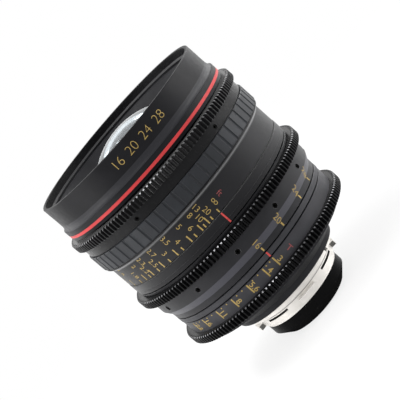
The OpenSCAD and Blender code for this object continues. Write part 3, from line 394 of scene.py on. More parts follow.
@dataclass(frozen=True)
class Anodised:
    """A turned, blasted and anodised aluminium surface."""

    name: str
    colour: Colour
    roughness: float = 0.42
    roughness_spread: float = 0.05
    roughness_patches: Blotches = Blotches(3 * MM, 4.0)
    mottle: float = 0.18
    mottle_patches: Blotches = Blotches(9 * MM)
    turned_pitch: float = 0.32 * MM
    turned_depth: float = 0.003 * MM
    grain: Blotches = Blotches(0.22 * MM, 3.0)
    grain_depth: float = 0.012 * MM
    specular: float = 0.16
    sheen: float = 0.0
    zones: tuple[Zone, ...] = ()

    def build(self) -> bpy.types.Material:
        """Builds the material.

        Returns:
            The material.
        """
        g = Graph(self.name)
        base = g.blend(g.spread(self.mottle_patches, 0.0, 1.0), scaled(self.colour, 1 - self.mottle),
                       scaled(self.colour, 1 + self.mottle))
        base, metallic = add_zones(g, self.zones, base, 0.0)
        rough = g.spread(self.roughness_patches, self.roughness - self.roughness_spread,
                         self.roughness + self.roughness_spread)
        grooves = g.math("MULTIPLY", g.turned(self.turned_pitch), self.turned_depth / self.grain_depth)
        relief = g.math("ADD", grooves, g.noise(self.grain))
        return g.shade(Base_Color=base, Metallic=metallic, Roughness=rough, Specular_IOR_Level=self.specular,
                       Sheen_Weight=self.sheen, Normal=g.bump(relief, self.grain_depth))


@dataclass(frozen=True)
class TurnedMetal:
    """A bare metal surface with the fine grooves of a lathe."""

    name: str
    colour: Colour
    roughness: float = 0.3
    smoother: float = 0.07
    rougher: float = 0.1
    roughness_patches: Blotches = Blotches(1.5 * MM, 5.0)
    turned_pitch: float = 0.25 * MM
    turned_depth: float = 0.006 * MM
    tarnish: float = 0.12
    tarnish_patches: Blotches = Blotches(6 * MM, 4.0)
    metallic: float = 1.0
    zones: tuple[Zone, ...] = ()

    def build(self) -> bpy.types.Material:
        """Builds the material.

        Returns:
            The material.
        """
        g = Graph(self.name)
        base = g.blend(g.spread(self.tarnish_patches, 0.0, 1.0), scaled(self.colour, 1 - self.tarnish), self.colour)
        base, metallic = add_zones(g, self.zones, base, self.metallic)
        rough = g.spread(self.roughness_patches, self.roughness - self.smoother, self.roughness + self.rougher)
        return g.shade(Base_Color=base, Metallic=metallic, Roughness=rough,
                       Normal=g.bump(g.turned(self.turned_pitch), self.turned_depth))


@dataclass(frozen=True)
class FigurePaint:
    """The paint that fills the engraved figures and lines."""

    name: str
    colour: Colour
    slot: str
    fading: float = 0.22
    fading_patches: Blotches = Blotches(0.5 * MM, 3.0)
    roughness: float = 0.5
    roughness_spread: float = 0.1
    roughness_patches: Blotches = Blotches(0.3 * MM)
    grain: Blotches = Blotches(0.12 * MM, 3.0)
    grain_depth: float = 0.01 * MM

    def build(self) -> bpy.types.Material:
        """Builds the material.

        Returns:
            The material.
        """
        g = Graph(self.name)
        base = g.blend(g.spread(self.fading_patches, 0.0, 1.0), scaled(self.colour, 1 - self.fading), self.colour)
        rough = g.spread(self.roughness_patches, self.roughness - self.roughness_spread,
                         self.roughness + self.roughness_spread)
        return g.shade(Base_Color=base, Roughness=rough, Normal=g.bump(g.noise(self.grain), self.grain_depth))


@dataclass(frozen=True)
class CoatedGlass:
    """Optical glass with a coating whose tint drifts a little."""

    name: str
    tint: Colour = (0.95, 0.97, 0.97)
    drift: float = 0.06
    drift_patches: Blotches = Blotches(25 * MM)
    smoothest: float = 0.004
    roughest: float = 0.02
    smears: Blotches = Blotches(7 * MM, 3.0)
    index: float = 1.62
    coat: float = 0.6
    coat_roughness: float = 0.02
    coat_tint: Colour = (0.93, 0.97, 1.0)

    def build(self) -> bpy.types.Material:
        """Builds the material.

        Returns:
            The material.
        """
        g = Graph(self.name)
        base = g.blend(g.spread(self.drift_patches, 0.0, 1.0), scaled(self.tint, 1 - self.drift), self.tint)
        return g.shade(Base_Color=base, Roughness=g.spread(self.smears, self.smoothest, self.roughest),
                       IOR=self.index, Transmission_Weight=1.0, Coat_Weight=self.coat,
                       Coat_Roughness=self.coat_roughness, Coat_Tint=(*self.coat_tint, 1))


Finish = Anodised | TurnedMetal | FigurePaint | CoatedGlass

SLEEVE_BLACK = Anodised("SleeveBlack", (0.003, 0.003, 0.0042), specular=0.12, sheen=0.22)
# The zone is painted shade on the rear body's cone.
BODY_BLACK = Anodised("BodyBlack", (0.02, 0.02, 0.022), specular=0.05, sheen=0.02, zones=(
    BandZone(13.3 * MM, 20.6 * MM, (0.006, 0.006, 0.007)),))
# The zones: painted shade on the collar at the hood's rear, a painted highlight on the flare ahead of the red ring,
# and a painted highlight on the ledge in the front bore.
HOOD_BLACK = Anodised("HoodBlack", (0.0045, 0.0045, 0.0058), specular=0.13, zones=(
    BandZone(109.8 * MM, 111.9 * MM, (0.008, 0.008, 0.009), 1.0),
    BandZone(116.3 * MM, 120.1 * MM, (0.018, 0.018, 0.021)),
    BandZone(127.6 * MM, 128.5 * MM, (0.05, 0.05, 0.052), inner=53.9 * MM, outer=56.0 * MM)))
RING_BLACK = Anodised("RingBlack", (0.006, 0.006, 0.0076), roughness=0.44, specular=0.17)
# The zone is a painted highlight on the scale's front rim.
SCALE_BLACK = Anodised("ScaleBlack", (0.0045, 0.0045, 0.006), roughness=0.44, specular=0.16, sheen=0.16, zones=(
    BandZone(84.9 * MM, 86.0 * MM, (0.2, 0.2, 0.205), 0.8),))
BAND_GREY = Anodised("BandGrey", (0.024, 0.024, 0.028), roughness=0.44, specular=0.25)
# The zone is a painted highlight on the zoom ring's cone.
ZOOM_BLACK = Anodised("ZoomBlack", (0.009, 0.009, 0.011), roughness=0.44, sheen=0.15, zones=(
    BandZone(44.0 * MM, 48.3 * MM, (0.040, 0.040, 0.050)),))
# The zone is painted shade in the groove at the grip's rear.
GRIP_GREY = Anodised("GripGrey", (0.010, 0.0115, 0.0148), roughness=0.42, specular=0.28, zones=(
    BandZone(86.0 * MM, 87.3 * MM, (0.001, 0.001, 0.001)),))
# The gears' zones are a painted glint on the front chamfers of the teeth.
FOCUS_GEAR_BLACK = Anodised("FocusGearBlack", (0.003, 0.003, 0.0036), roughness=0.26, specular=0.09, sheen=0.15,
                            zones=(ChamferGlintZone(108.8 * MM, 62.4 * MM),))
ZOOM_GEAR_BLACK = Anodised("ZoomGearBlack", (0.0035, 0.0035, 0.004), roughness=0.26, specular=0.1,
                           zones=(ChamferGlintZone(62.2 * MM, 62.4 * MM),))
IRIS_GEAR_BLACK = Anodised("IrisGearBlack", (0.0035, 0.0035, 0.004), roughness=0.26, specular=0.1,
                           zones=(ChamferGlintZone(28.6 * MM, 59.2 * MM),))
BORE_BLACK = Anodised("BoreBlack", (0.003, 0.003, 0.0033), roughness=0.55, specular=0.06)
FUNNEL_GREY = Anodised("FunnelGrey", (0.012, 0.012, 0.014), roughness=0.5, specular=0.12)
# The zone is painted shade on the tapered tail, which dims its reflection of the floor.
TUBE_BLACK = Anodised("TubeBlack", (0.008, 0.008, 0.0082), roughness=0.3, specular=0.0, zones=(
    BandZone(-8.4 * MM, 0.0, (0.006, 0.006, 0.0062), 0.5),))
STRIPE_RED = Anodised("StripeRed", (0.44, 0.036, 0.038), roughness=0.4, mottle=0.06)
SCREW_BLACK = Anodised("ScrewBlack", (0.0025, 0.0025, 0.0025), roughness=0.4, specular=0.03)
# The zones are painted light and shade: painted shade on the bottoms of the slots and in the notch
# and the screws' holes, a painted shadow on the neck's seam under the flange, a painted highlight
# on the tabs' front faces, and painted shade on the ends of the side tabs.
STAINLESS = TurnedMetal("Stainless", (0.72, 0.695, 0.66), roughness=0.45, metallic=0.6, zones=(
    BandZone(2.0 * MM, 3.7 * MM, (0.02, 0.02, 0.02), inner=20 * MM, outer=28.3 * MM),
    BandZone(6.2 * MM, 9.1 * MM, (0.02, 0.02, 0.02), outer=31.2 * MM),
    BandZone(4.0 * MM, 4.5 * MM, (0.26, 0.25, 0.24), 0.3, inner=28.2 * MM, outer=28.8 * MM),
    BandZone(2.7 * MM, 2.9 * MM, (0.95, 0.93, 0.9), inner=28.6 * MM, outer=31.7 * MM),
    BandZone(0.05 * MM, 2.75 * MM, (0.12, 0.118, 0.112), 0.4, inner=28.6 * MM, outer=31.5 * MM, aside=20 * MM)))
BLACK_STEEL = TurnedMetal("BlackSteel", (0.05, 0.05, 0.052), roughness=0.35)
BARE_ALUMINIUM = TurnedMetal("BareAluminium", (0.72, 0.72, 0.73))
BLACKENED_ALUMINIUM = TurnedMetal("BlackenedAluminium", (0.72, 0.72, 0.73), zones=(
    BandZone(0.0, 140 * MM, (0.004, 0.004, 0.004), 1.0, inner=50 * MM),))
BRASS = TurnedMetal("Brass", (0.78, 0.58, 0.28))
BRIGHT_RIM = TurnedMetal("BrightRim", (0.08, 0.08, 0.083), roughness=0.25)
GOLD_PAINT = FigurePaint("GoldPaint", (0.33, 0.225, 0.052), "shim_brass")
RED_PAINT = FigurePaint("RedPaint", (0.50, 0.035, 0.03), "red_anodised")
DARK_RED_PAINT = FigurePaint("DarkRedPaint", (0.23, 0.035, 0.036), "red_anodised")
FRONT_GLASS = CoatedGlass("FrontGlass")
INNER_GLASS = CoatedGlass("InnerGlass", tint=(0.92, 0.95, 0.95))


# Marks


@dataclass(frozen=True)
class Surface:
    """A turned surface that marks lie on, given by the points of its profile."""

    profile: tuple[Point, ...]

    @classmethod
    def straight(cls, radius: float) -> "Surface":
        """Returns the surface of a straight ring."""
        return cls(((0.0, radius), (1.0, radius)))

    def radius(self, height: float) -> float:
        """Measures the surface.

        Args:
            height: The height along the axis, in metres.

        Returns:
            The surface's radius at that height.
        """
        points = self.profile
        if height <= points[0][0]:
            return points[0][1]
        for (low_z, low_r), (high_z, high_r) in zip(points, points[1:]):
            if height <= high_z:
                return low_r + (high_r - low_r) * (height - low_z) / (high_z - low_z)
        return points[-1][1]


@dataclass(frozen=True)
class Relief:
    """How a painted mark lies on its surface."""

    lift: float = 0.03 * MM
    sink: float = 0.08 * MM
    cell: float = 0.7 * MM


@dataclass(frozen=True)
class Spot:
    """Where a mark stands: degrees from the index line, metres along the axis, and metres sideways."""

    degrees: float
    along: float
    shift: float = 0.0
    reading: Reading = Reading.REARWARD
    stand: Stand = Stand.MIDDLE


@dataclass(frozen=True)
class Lettering:
    """The cut of a scale's figures."""

    height: float
    thinning: float = 0.02
    narrowing: float = 1.0
    resolution: int = 4


class MarkSheet:
    """Collects flat figures and bars, wraps them round a surface and makes one mesh of them."""

    def __init__(self, surface: Surface, relief: Relief = Relief()) -> None:
        """Starts an empty sheet.

        Args:
            surface: The surface that the marks lie on.
            relief: How they lie on it.
        """
        self.surface = surface
        self.relief = relief
        self.points: list[Place] = []
        self.faces: list[list[int]] = []

    def figure(self, text: str, lettering: Lettering, spot: Spot) -> None:
        """Adds a figure.

        Args:
            text: The figure's characters.
            lettering: Their cut.
            spot: Its place.
        """
        flat = self._flat_text(text, lettering)
        if spot.stand is Stand.FOOT:
            for vert in flat.verts:
                vert.co.y += lettering.height / 2
        self._wrap(flat, spot)

    def bar(self, width: float, length: float, spot: Spot) -> None:
        """Adds a straight line along the axis.

        Args:
            width: Its width round the ring, in metres.
            length: Its length along the axis, in metres.
            spot: The place of its middle.
        """
        flat = bmesh.new()
        x, y = length / 2, width / 2
        flat.faces.new([flat.verts.new((*corner, 0)) for corner in ((-x, -y), (x, -y), (x, y), (-x, y))])
        self._wrap(flat, spot)

    def dot(self, radius: float, spot: Spot, corners: int = 10) -> None:
        """Adds a round dot.

        Args:
            radius: Its radius, in metres.
            spot: Its place.
            corners: The number of its corners.
        """
        flat = bmesh.new()
        bmesh.ops.create_circle(flat, cap_ends=True, radius=radius, segments=corners)
        self._wrap(flat, spot)

    @staticmethod
    def _flat_text(text: str, lettering: Lettering) -> bmesh.types.BMesh:
        """Makes a figure as flat faces round the origin.

        Args:
            text: The figure's characters.
            lettering: Their cut.

        Returns:
            The flat mesh.
        """
        curve = bpy.data.curves.new("figure", "FONT")
        curve.body = text
        curve.resolution_u = lettering.resolution
        curve.offset = -lettering.thinning
        source = add_object("figure", curve)
        mesh = bpy.data.meshes.new_from_object(source.evaluated_get(bpy.context.evaluated_depsgraph_get()))
        flat = bmesh.new()
        flat.from_mesh(mesh)
        bpy.data.objects.remove(source)
        bpy.data.curves.remove(curve)
        bpy.data.meshes.remove(mesh)
        bmesh.ops.remove_doubles(flat, verts=flat.verts, dist=WELD)
        low = Vector((min(v.co.x for v in flat.verts), min(v.co.y for v in flat.verts), 0))
        high = Vector((max(v.co.x for v in flat.verts), max(v.co.y for v in flat.verts), 0))
        size_y = lettering.height / (high.y - low.y)
        size_x = size_y * lettering.narrowing
        for vert in flat.verts:
            offset = vert.co - (low + high) / 2
            vert.co = Vector((offset.x * size_x, offset.y * size_y, 0))
        return flat

    def _wrap(self, flat: bmesh.types.BMesh, spot: Spot) -> None:
        """Cuts a flat mesh into small cells, wraps it round the surface and gives it thickness.

        Args:
            flat: The flat mesh, which is used up.
            spot: Its place.
        """
        for axis, normal in enumerate((Vector((1, 0, 0)), Vector((0, 1, 0)))):
            low = min(v.co[axis] for v in flat.verts)
            high = max(v.co[axis] for v in flat.verts)
            steps = int((high - low) / self.relief.cell) + 1
            for step in range(1, steps):
                self._cut(flat, normal * (low + (high - low) * step / steps), normal)
        if spot.reading is Reading.REARWARD:
            for height, _ in self.surface.profile:
                self._cut(flat, Vector((spot.along - height, 0, 0)), Vector((1, 0, 0)))
        bmesh.ops.triangulate(flat, faces=flat.faces)
        start = len(self.points)
        flat.verts.index_update()
        count = len(flat.verts)
        for offset in (self.relief.lift, -self.relief.sink):
            self.points += [self._on_surface(vert.co, spot, offset) for vert in flat.verts]
        for face in flat.faces:
            ring = [start + v.index for v in face.verts]
            self.faces.append(ring)
            self.faces.append([index + count for index in reversed(ring)])
        for edge in flat.edges:
            if len(edge.link_faces) == 1:
                loop = edge.link_loops[0]
                first, second = start + loop.vert.index, start + loop.link_loop_next.vert.index
                self.faces.append([second, first, first + count, second + count])
        flat.free()

    @staticmethod
    def _cut(flat: bmesh.types.BMesh, place: Vector, normal: Vector) -> None:
        """Cuts a flat mesh along a plane and keeps both halves.

        Args:
            flat: The flat mesh.
            place: A point of the plane.
            normal: The plane's normal.
        """
        geometry = [*flat.verts, *flat.edges, *flat.faces]
        bmesh.ops.bisect_plane(flat, geom=geometry, plane_co=place, plane_no=normal, dist=TOUCH)

    def _on_surface(self, flat: Vector, spot: Spot, offset: float) -> Place:
        """Wraps a flat point round the surface.

        Args:
            flat: The flat point.
            spot: The mark's place.
            offset: The height over the surface, in metres.

        Returns:
            The point in the lens's frame.
        """
        if spot.reading is Reading.REARWARD:
            height, sideways = spot.along - flat.x, flat.y
        else:
            height, sideways = spot.along + flat.y, flat.x
        radius = self.surface.radius(height) + offset
        angle = INDEX_ANGLE + math.radians(spot.degrees) + (spot.shift + sideways) / self.surface.radius(spot.along)
        return (radius * math.cos(angle), radius * math.sin(angle), height)

    def build(self, name: str) -> bpy.types.Object:
        """Makes one object of all the marks.

        Args:
            name: The piece's name.

        Returns:
            The new object.
        """
        mesh = bpy.data.meshes.new(name)
        mesh.from_pydata(self.points, [], self.faces)
        return add_object(name, mesh)


class Workshop:
    """Makes each finish once and puts it on pieces."""

    def __init__(self) -> None:
        """Starts with no material made."""
        self.made: dict[str, bpy.types.Material] = {}

    def material(self, finish: Finish) -> bpy.types.Material:
        """Makes a finish's material at its first use.

        Args:
            finish: The finish.

        Returns:
            The finish's material.
        """
        if finish.name not in self.made:
            self.made[finish.name] = finish.build()
        return self.made[finish.name]

    def dress(self, finishes: dict[str, Finish]) -> None:
        """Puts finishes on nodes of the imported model.

        Args:
            finishes: A finish for each node's name.
        """
        for name, finish in finishes.items():
            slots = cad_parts[name].data.materials
            slots.clear()
            slots.append(self.material(finish))
            LOG.info("%s wears %s", name, finish.name)

    def hand_over(self, piece: bpy.types.Object, control: Control, slot: str) -> None:
        """Lets a finished piece ride on its body.

        Args:
            piece: The finished piece.
            control: The body that it rides on.
            slot: The record's material slot; not used.
        """
        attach(piece, control.value)
        LOG.info("%s rides on %s", piece.name, control.value)

    def paint(self, sheet: MarkSheet, name: str, paint: FigurePaint, control: Control) -> None:
        """Makes one painted piece of a sheet's marks and hands it over.

        Args:
            sheet: The marks.
            name: The piece's name.
            paint: Its paint.
            control: The body that it rides on.
        """
        piece = sheet.build(name)
        piece.data.materials.append(self.material(paint))
        self.hand_over(piece, control, paint.slot)


# Repeated details


class NodeRecipe(NodeTree):
    """A Geometry Nodes tree with named inputs, and the mesh that it makes."""

    def __init__(self, name: str, sizes: tuple[str, ...]) -> None:
        """Starts a tree with a count, sizes and a material as its inputs.

        Args:
            name: The tree's name.
            sizes: The names of its sizes.
        """
        super().__init__(bpy.data.node_groups.new(name, "GeometryNodeTree"))
        kinds = {"Geometry": "NodeSocketGeometry", "Count": "NodeSocketInt",
                 **dict.fromkeys(sizes, "NodeSocketFloat"), "Material": "NodeSocketMaterial"}
        self.keys: dict[str, str] = {}
        for title, kind in kinds.items():
            self.keys[title] = self.tree.interface.new_socket(title, in_out="INPUT", socket_type=kind).identifier
        self.tree.interface.new_socket("Geometry", in_out="OUTPUT", socket_type="NodeSocketGeometry")
        self.given = self.add("NodeGroupInput").outputs

    def ring(self, radius: bpy.types.NodeSocket, corners: int, wire_radius: bpy.types.NodeSocket,
             wire_corners: int) -> bpy.types.NodeSocket:
        """Adds a round wire bent to a ring.

        Args:
            radius: The ring's radius.
            corners: The number of the ring's corners.
            wire_radius: The wire's radius.
            wire_corners: The number of the wire's corners.

        Returns:
            The ring's socket.
        """
        path = self.add("GeometryNodeCurvePrimitiveCircle", Resolution=corners, Radius=radius)
        wire = self.add("GeometryNodeCurvePrimitiveCircle", Resolution=wire_corners, Radius=wire_radius)
        swept = self.add("GeometryNodeCurveToMesh", Curve=path.outputs["Curve"], Profile_Curve=wire.outputs["Curve"])
        return swept.outputs[0]

    def close(self, instances: bpy.types.NodeSocket) -> None:
        """Ends the tree in Realize Instances and Set Material.

        Args:
            instances: The geometry to end with.
        """
        real = self.add("GeometryNodeRealizeInstances", Geometry=instances)
        painted = self.add("GeometryNodeSetMaterial", Geometry=real.outputs[0], Material=self.given["Material"])
        self.feed(self.add("NodeGroupOutput").inputs[0], painted.outputs[0])

    def make(self, name: str, values: dict[str, Value]) -> bpy.types.Object:
        """Runs the tree and keeps its result as a plain mesh.

        Args:
            name: The piece's name.
            values: A value for each input.

        Returns:
            The new object.
        """
        seed = add_object(name + "_seed", bpy.data.meshes.new(name + "_seed"))
        modifier = seed.modifiers.new("recipe", "NODES")
        modifier.node_group = self.tree
        for title, value in values.items():
            modifier[self.keys[title]] = value
        mesh = bpy.data.meshes.new_from_object(seed.evaluated_get(bpy.context.evaluated_depsgraph_get()))
        seed.modifiers.remove(modifier)
        bpy.data.objects.remove(seed)
        mesh.name = name
        return add_object(name, mesh)


class RoundRow(NodeRecipe):
    """Small rings set round the axis, each facing outwards."""

    ring_corners: int = 24
    wire_corners: int = 8

    def __init__(self) -> None:
        """Builds the tree."""
        super().__init__("RoundRow", ("Row Radius", "Height", "First Angle", "Ring Radius", "Wire Radius"))
        places = self.add("GeometryNodeMeshCircle", Vertices=self.given["Count"], Radius=self.given["Row Radius"])
        turn = self.add("ShaderNodeCombineXYZ", Z=self.given["First Angle"])
        rise = self.add("ShaderNodeCombineXYZ", Z=self.given["Height"])
        placed = self.add("GeometryNodeTransform", Geometry=places.outputs["Mesh"], Rotation=turn.outputs[0],
                          Translation=rise.outputs[0])
        ring = self.ring(self.given["Ring Radius"], self.ring_corners, self.given["Wire Radius"], self.wire_corners)
        outwards = self.add("ShaderNodeVectorMath", {"operation": "MULTIPLY"})
        self.feed(outwards.inputs[0], self.add("GeometryNodeInputPosition").outputs[0])
        self.feed(outwards.inputs[1], (1, 1, 0))
        facing = self.add("FunctionNodeAlignRotationToVector", {"axis": "Z"}, Vector=outwards.outputs[0])
        copies = self.add("GeometryNodeInstanceOnPoints", Points=placed.outputs[0], Instance=ring,
                          Rotation=facing.outputs[0])
        self.close(copies.outputs[0])


class RidgeStack(NodeRecipe):
    """Fine ridges stacked along the axis inside a bore."""

    ring_corners: int = 160
    wire_corners: int = 6

    def __init__(self) -> None:
        """Builds the tree."""
        super().__init__("RidgeStack", ("Pitch", "Height", "Bore Radius", "Ridge Radius"))
        step = self.add("ShaderNodeCombineXYZ", Z=self.given["Pitch"])
        start = self.add("ShaderNodeCombineXYZ", Z=self.given["Height"])
        line = self.add("GeometryNodeMeshLine", Count=self.given["Count"], Start_Location=start.outputs[0],
                        Offset=step.outputs[0])
        ridge = self.ring(self.given["Bore Radius"], self.ring_corners, self.given["Ridge Radius"], self.wire_corners)
        copies = self.add("GeometryNodeInstanceOnPoints", Points=line.outputs["Mesh"], Instance=ridge)
        self.close(copies.outputs[0])


# Sub-assemblies


@dataclass
class FocusControl:
    """The focus ring: its gear, grip, scale and set screws."""

    shop: Workshop
    band_radius: float = 58.3 * MM
    tick_end: float = 72.05 * MM
    tick_width: float = 0.7 * MM
    short_tick: float = 2.2 * MM
    long_tick: float = 4.2 * MM
    outer_row: float = 77.5 * MM
    inner_row: float = 82.2 * MM
    lettering: Lettering = Lettering(3.2 * MM, 0.008, 0.92)
    figure_shift: float = 1.2 * MM
    infinity: Lettering = Lettering(3.9 * MM, 0.016, 0.88)
    infinity_shift: float = 2.2 * MM
    unit: Spot = Spot(7.1, 78.3 * MM)
    distances: tuple[tuple[str, float], ...] = (
        ("∞", 0.0), ("20", -4.8), ("13", -7.3), ("10", -9.9), ("8", -12.1), ("6", -16.5), ("5", -19.9),
        ("4", -26.2), ("3.5", -30.3), ("3", -36.2), ("2.7", -41.3), ("2.5", -45.7), ("2.3", -50.7), ("2.2", -53.8),
        ("2", -58.0), ("1.8", -64.0), ("1.6", -74.0), ("1.4", -87.0), ("1.2", -104.0), ("1.1", -124.0), ("1", -145.0))
    inner_figures: tuple[str, ...] = ("13", "8", "5", "3.5", "2.7", "2.3", "2", "1.6", "1.2", "1")

    def dress(self) -> None:
        """Puts the finishes on the ring's nodes."""
        self.shop.dress({
            "focus_gear": FOCUS_GEAR_BLACK, "focus_grip": GRIP_GREY, "focus_scale": SCALE_BLACK,
            "focus_set_screws": SCREW_BLACK, "focus_key": BLACK_STEEL, "focus_sleeve": BLACKENED_ALUMINIUM,
            "focus_cam": BARE_ALUMINIUM})

    def mark(self) -> None:
        """Paints the distance scale, with a lying 8 for infinity."""
        sheet = MarkSheet(Surface.straight(self.band_radius))
        for text, degrees in self.distances:
            inner = text in self.inner_figures
            length = self.long_tick if inner else self.short_tick
            sheet.bar(self.tick_width, length, Spot(degrees, self.tick_end + length / 2))
            row = self.inner_row if inner else self.outer_row
            if text == "∞":
                sheet.figure("8", self.infinity, Spot(degrees, row, self.infinity_shift, Reading.ROUND))
            else:
                sheet.figure(text, self.lettering, Spot(degrees, row, self.figure_shift))
        self.shop.paint(sheet, "focus_scale_figures", GOLD_PAINT, Control.FOCUS)
        unit = MarkSheet(sheet.surface)
        unit.figure("ft", self.lettering, self.unit)
        self.shop.paint(unit, "focus_unit", DARK_RED_PAINT, Control.FOCUS)


@dataclass
class ZoomControl:
    """The zoom ring: its gear, lock ring, scale and set screws."""

    shop: Workshop
    profile: tuple[Point, ...] = ((40.6 * MM, 55.5 * MM), (44.0 * MM, 55.5 * MM), (48.3 * MM, 57.95 * MM),
                                  (56.9 * MM, 57.95 * MM))
    tick_width: float = 0.9 * MM
    tick_length: float = 2.2 * MM
    tick_middle: float = 42.3 * MM
    lettering: Lettering = Lettering(3.8 * MM, 0.004)
    figure_row: float = 46.4 * MM
    lengths: tuple[tuple[str, float], ...] = (("16", 0.0), ("20", 17.1), ("24", 36.8), ("28", 52.6))
    screw_count: int = 12
    screw_azimuth: float = 21.0
    screw_height: float = 51.7 * MM
    screw_radius: float = 1.6 * MM
    rim_wire: float = 0.1 * MM

    def dress(self) -> None:
        """Puts the finishes on the ring's nodes."""
        self.shop.dress({
            "zoom_gear": ZOOM_GEAR_BLACK, "zoom_ring": ZOOM_BLACK, "zoom_lock_ring": RING_BLACK,
            "zoom_set_screws": SCREW_BLACK, "zoom_key": BLACK_STEEL, "zoom_cam": BARE_ALUMINIUM})

    def mark(self) -> None:
        """Paints the focal length scale."""
        sheet = MarkSheet(Surface(self.profile))
        for text, degrees in self.lengths:
            sheet.bar(self.tick_width, self.tick_length, Spot(degrees, self.tick_middle))
            sheet.figure(text, self.lettering, Spot(degrees, self.figure_row))
        self.shop.paint(sheet, "zoom_scale_figures", GOLD_PAINT, Control.ZOOM)

    def rim_screws(self, row: RoundRow) -> None:
        """Adds the bright rims of the set screws' holes.

        Args:
            row: The recipe for small rings round the axis.
        """
        piece = row.make("zoom_screw_rims", {
            "Count": self.screw_count, "Row Radius": self.profile[-1][1], "Height": self.screw_height,
            "First Angle": INDEX_ANGLE + math.radians(self.screw_azimuth), "Ring Radius": self.screw_radius,
            "Wire Radius": self.rim_wire, "Material": self.shop.material(BRIGHT_RIM)})
        self.shop.hand_over(piece, Control.ZOOM, "dark_steel")


@dataclass
class IrisControl:
    """The iris ring with its gear and scale, and the parts that it drives."""

    shop: Workshop
    band_radius: float = 55.2 * MM
    line_width: float = 0.8 * MM
    line_length: float = 5.7 * MM
    line_middle: float = 32.85 * MM
    lettering: Lettering = Lettering(3.3 * MM, -0.006)
    figure_row: float = 32.2 * MM
    figure_shift: float = 0.7 * MM
    dot_radius: float = 0.4 * MM
    dot_row: float = 35.2 * MM
    dot_shares: tuple[float, ...] = (1 / 3, 2 / 3)
    unit: Spot = Spot(10.0, 32.0 * MM)
    stops: tuple[tuple[str, float], ...] = (("3", 0.0), ("4", -7.9), ("5.6", -20.1), ("8", -32.2), ("11", -45.0),
                                            ("16", -58.7), ("22", -70.1))
    blade_count: int = 9

    def dress(self) -> None:
        """Puts the finishes on the nodes of the ring, the drive ring and the blades."""
        blades = [f"iris_blade_{number + 1}" for number in range(self.blade_count)]
        self.shop.dress({
            "iris_gear": IRIS_GEAR_BLACK, "iris_ring": BAND_GREY, "iris_drive_ring": BARE_ALUMINIUM,
            "iris_key": BLACK_STEEL, **dict.fromkeys(blades, BLACK_STEEL)})

    def mark(self) -> None:
        """Paints the aperture scale."""
        sheet = MarkSheet(Surface.straight(self.band_radius))
        for text, degrees in self.stops:
            sheet.bar(self.line_width, self.line_length, Spot(degrees, self.line_middle))
            sheet.figure(text, self.lettering, Spot(degrees, self.figure_row, self.figure_shift, stand=Stand.FOOT))
        for (_, first), (_, second) in zip(self.stops, self.stops[1:]):
            for share in self.dot_shares:
                sheet.dot(self.dot_radius, Spot(first + (second - first) * share, self.dot_row))
        self.shop.paint(sheet, "iris_scale_figures", GOLD_PAINT, Control.IRIS)
        unit = MarkSheet(sheet.surface)
        unit.figure("T", self.lettering, self.unit)
        self.shop.paint(unit, "iris_unit", DARK_RED_PAINT, Control.IRIS)


@dataclass
class FixedBarrel:
    """The fixed sleeve and ring that carry the index lines."""

    shop: Workshop
    sleeve: tuple[Point, ...] = ((64.5 * MM, 58.3 * MM), (66.7 * MM, 58.3 * MM), (66.9 * MM, 58.5 * MM),
                                 (71.2 * MM, 58.5 * MM))
    ring: tuple[Point, ...] = ((36.9 * MM, 55.5 * MM), (39.9 * MM, 55.5 * MM))
    line_width: float = 0.95 * MM

    def dress(self) -> None:
        """Puts the finishes on the fixed rings and the inner barrel."""
        self.shop.dress({
            "index_sleeve": SLEEVE_BLACK, "rear_index_ring": BAND_GREY, "main_barrel": BLACKENED_ALUMINIUM,
            "guide_tube": BARE_ALUMINIUM, "cam_spacer": BARE_ALUMINIUM, "iris_housing": BORE_BLACK,
            "iris_cover": BORE_BLACK})

    def mark(self) -> None:
        """Paints the red index lines."""
        for name, profile in (("focus_index_line", self.sleeve), ("zoom_index_line", self.ring)):
            sheet = MarkSheet(Surface(profile))
            low, high = profile[0][0], profile[-1][0]
            sheet.bar(self.line_width, high - low, Spot(0.0, (low + high) / 2))
            self.shop.paint(sheet, name, RED_PAINT, Control.BARREL)


@dataclass
class FrontBarrel:
    """The front barrel: its red ring, figures, bore, funnel and glasses."""

    shop: Workshop
    radius: float = 57.5 * MM
    lettering: Lettering = Lettering(4.8 * MM, 0.022)
    figure_row: float = 125.9 * MM
    figures: tuple[tuple[str, float], ...] = (("16", -14.0), ("20", -4.2), ("24", 5.8), ("28", 16.0))
    ridge_count: int = 6
    ridge_pitch: float = 0.65 * MM
    ridge_low: float = 128.6 * MM
    bore_radius: float = 55.6 * MM
    ridge_radius: float = 0.16 * MM

    def dress(self) -> None:
        """Puts the finishes on the front's nodes."""
        self.shop.dress({
            "front_hood": HOOD_BLACK, "red_ring": STRIPE_RED, "front_funnel": FUNNEL_GREY,
            "front_cell": BORE_BLACK, "front_glass": FRONT_GLASS, "second_glass": INNER_GLASS})

    def mark(self) -> None:
        """Paints plain figures on the front barrel."""
        sheet = MarkSheet(Surface.straight(self.radius))
        for text, degrees in self.figures:
            sheet.figure(text, self.lettering, Spot(degrees, self.figure_row, reading=Reading.ROUND))
        self.shop.paint(sheet, "front_figures", GOLD_PAINT, Control.BARREL)

    def ridge_bore(self, stack: RidgeStack) -> None:
        """Adds the fine ridges inside the front bore.

        Args:
            stack: The recipe for ridges along the axis.
        """
        piece = stack.make("front_bore_ridges", {
            "Count": self.ridge_count, "Pitch": self.ridge_pitch, "Height": self.ridge_low,
            "Bore Radius": self.bore_radius, "Ridge Radius": self.ridge_radius,
            "Material": self.shop.material(BORE_BLACK)})
        self.shop.hand_over(piece, Control.BARREL, "inner_black")


@dataclass
class Optics:
    """The sliding cells and their glasses."""

    shop: Workshop
    groups: tuple[str, ...] = ("focus", "variator", "compensator")

    def dress(self) -> None:
        """Puts the finishes on the cells, followers and glasses."""
        for group in self.groups:
            self.shop.dress({f"{group}_cell": BORE_BLACK, f"{group}_followers": BRASS, f"{group}_glass": INNER_GLASS})


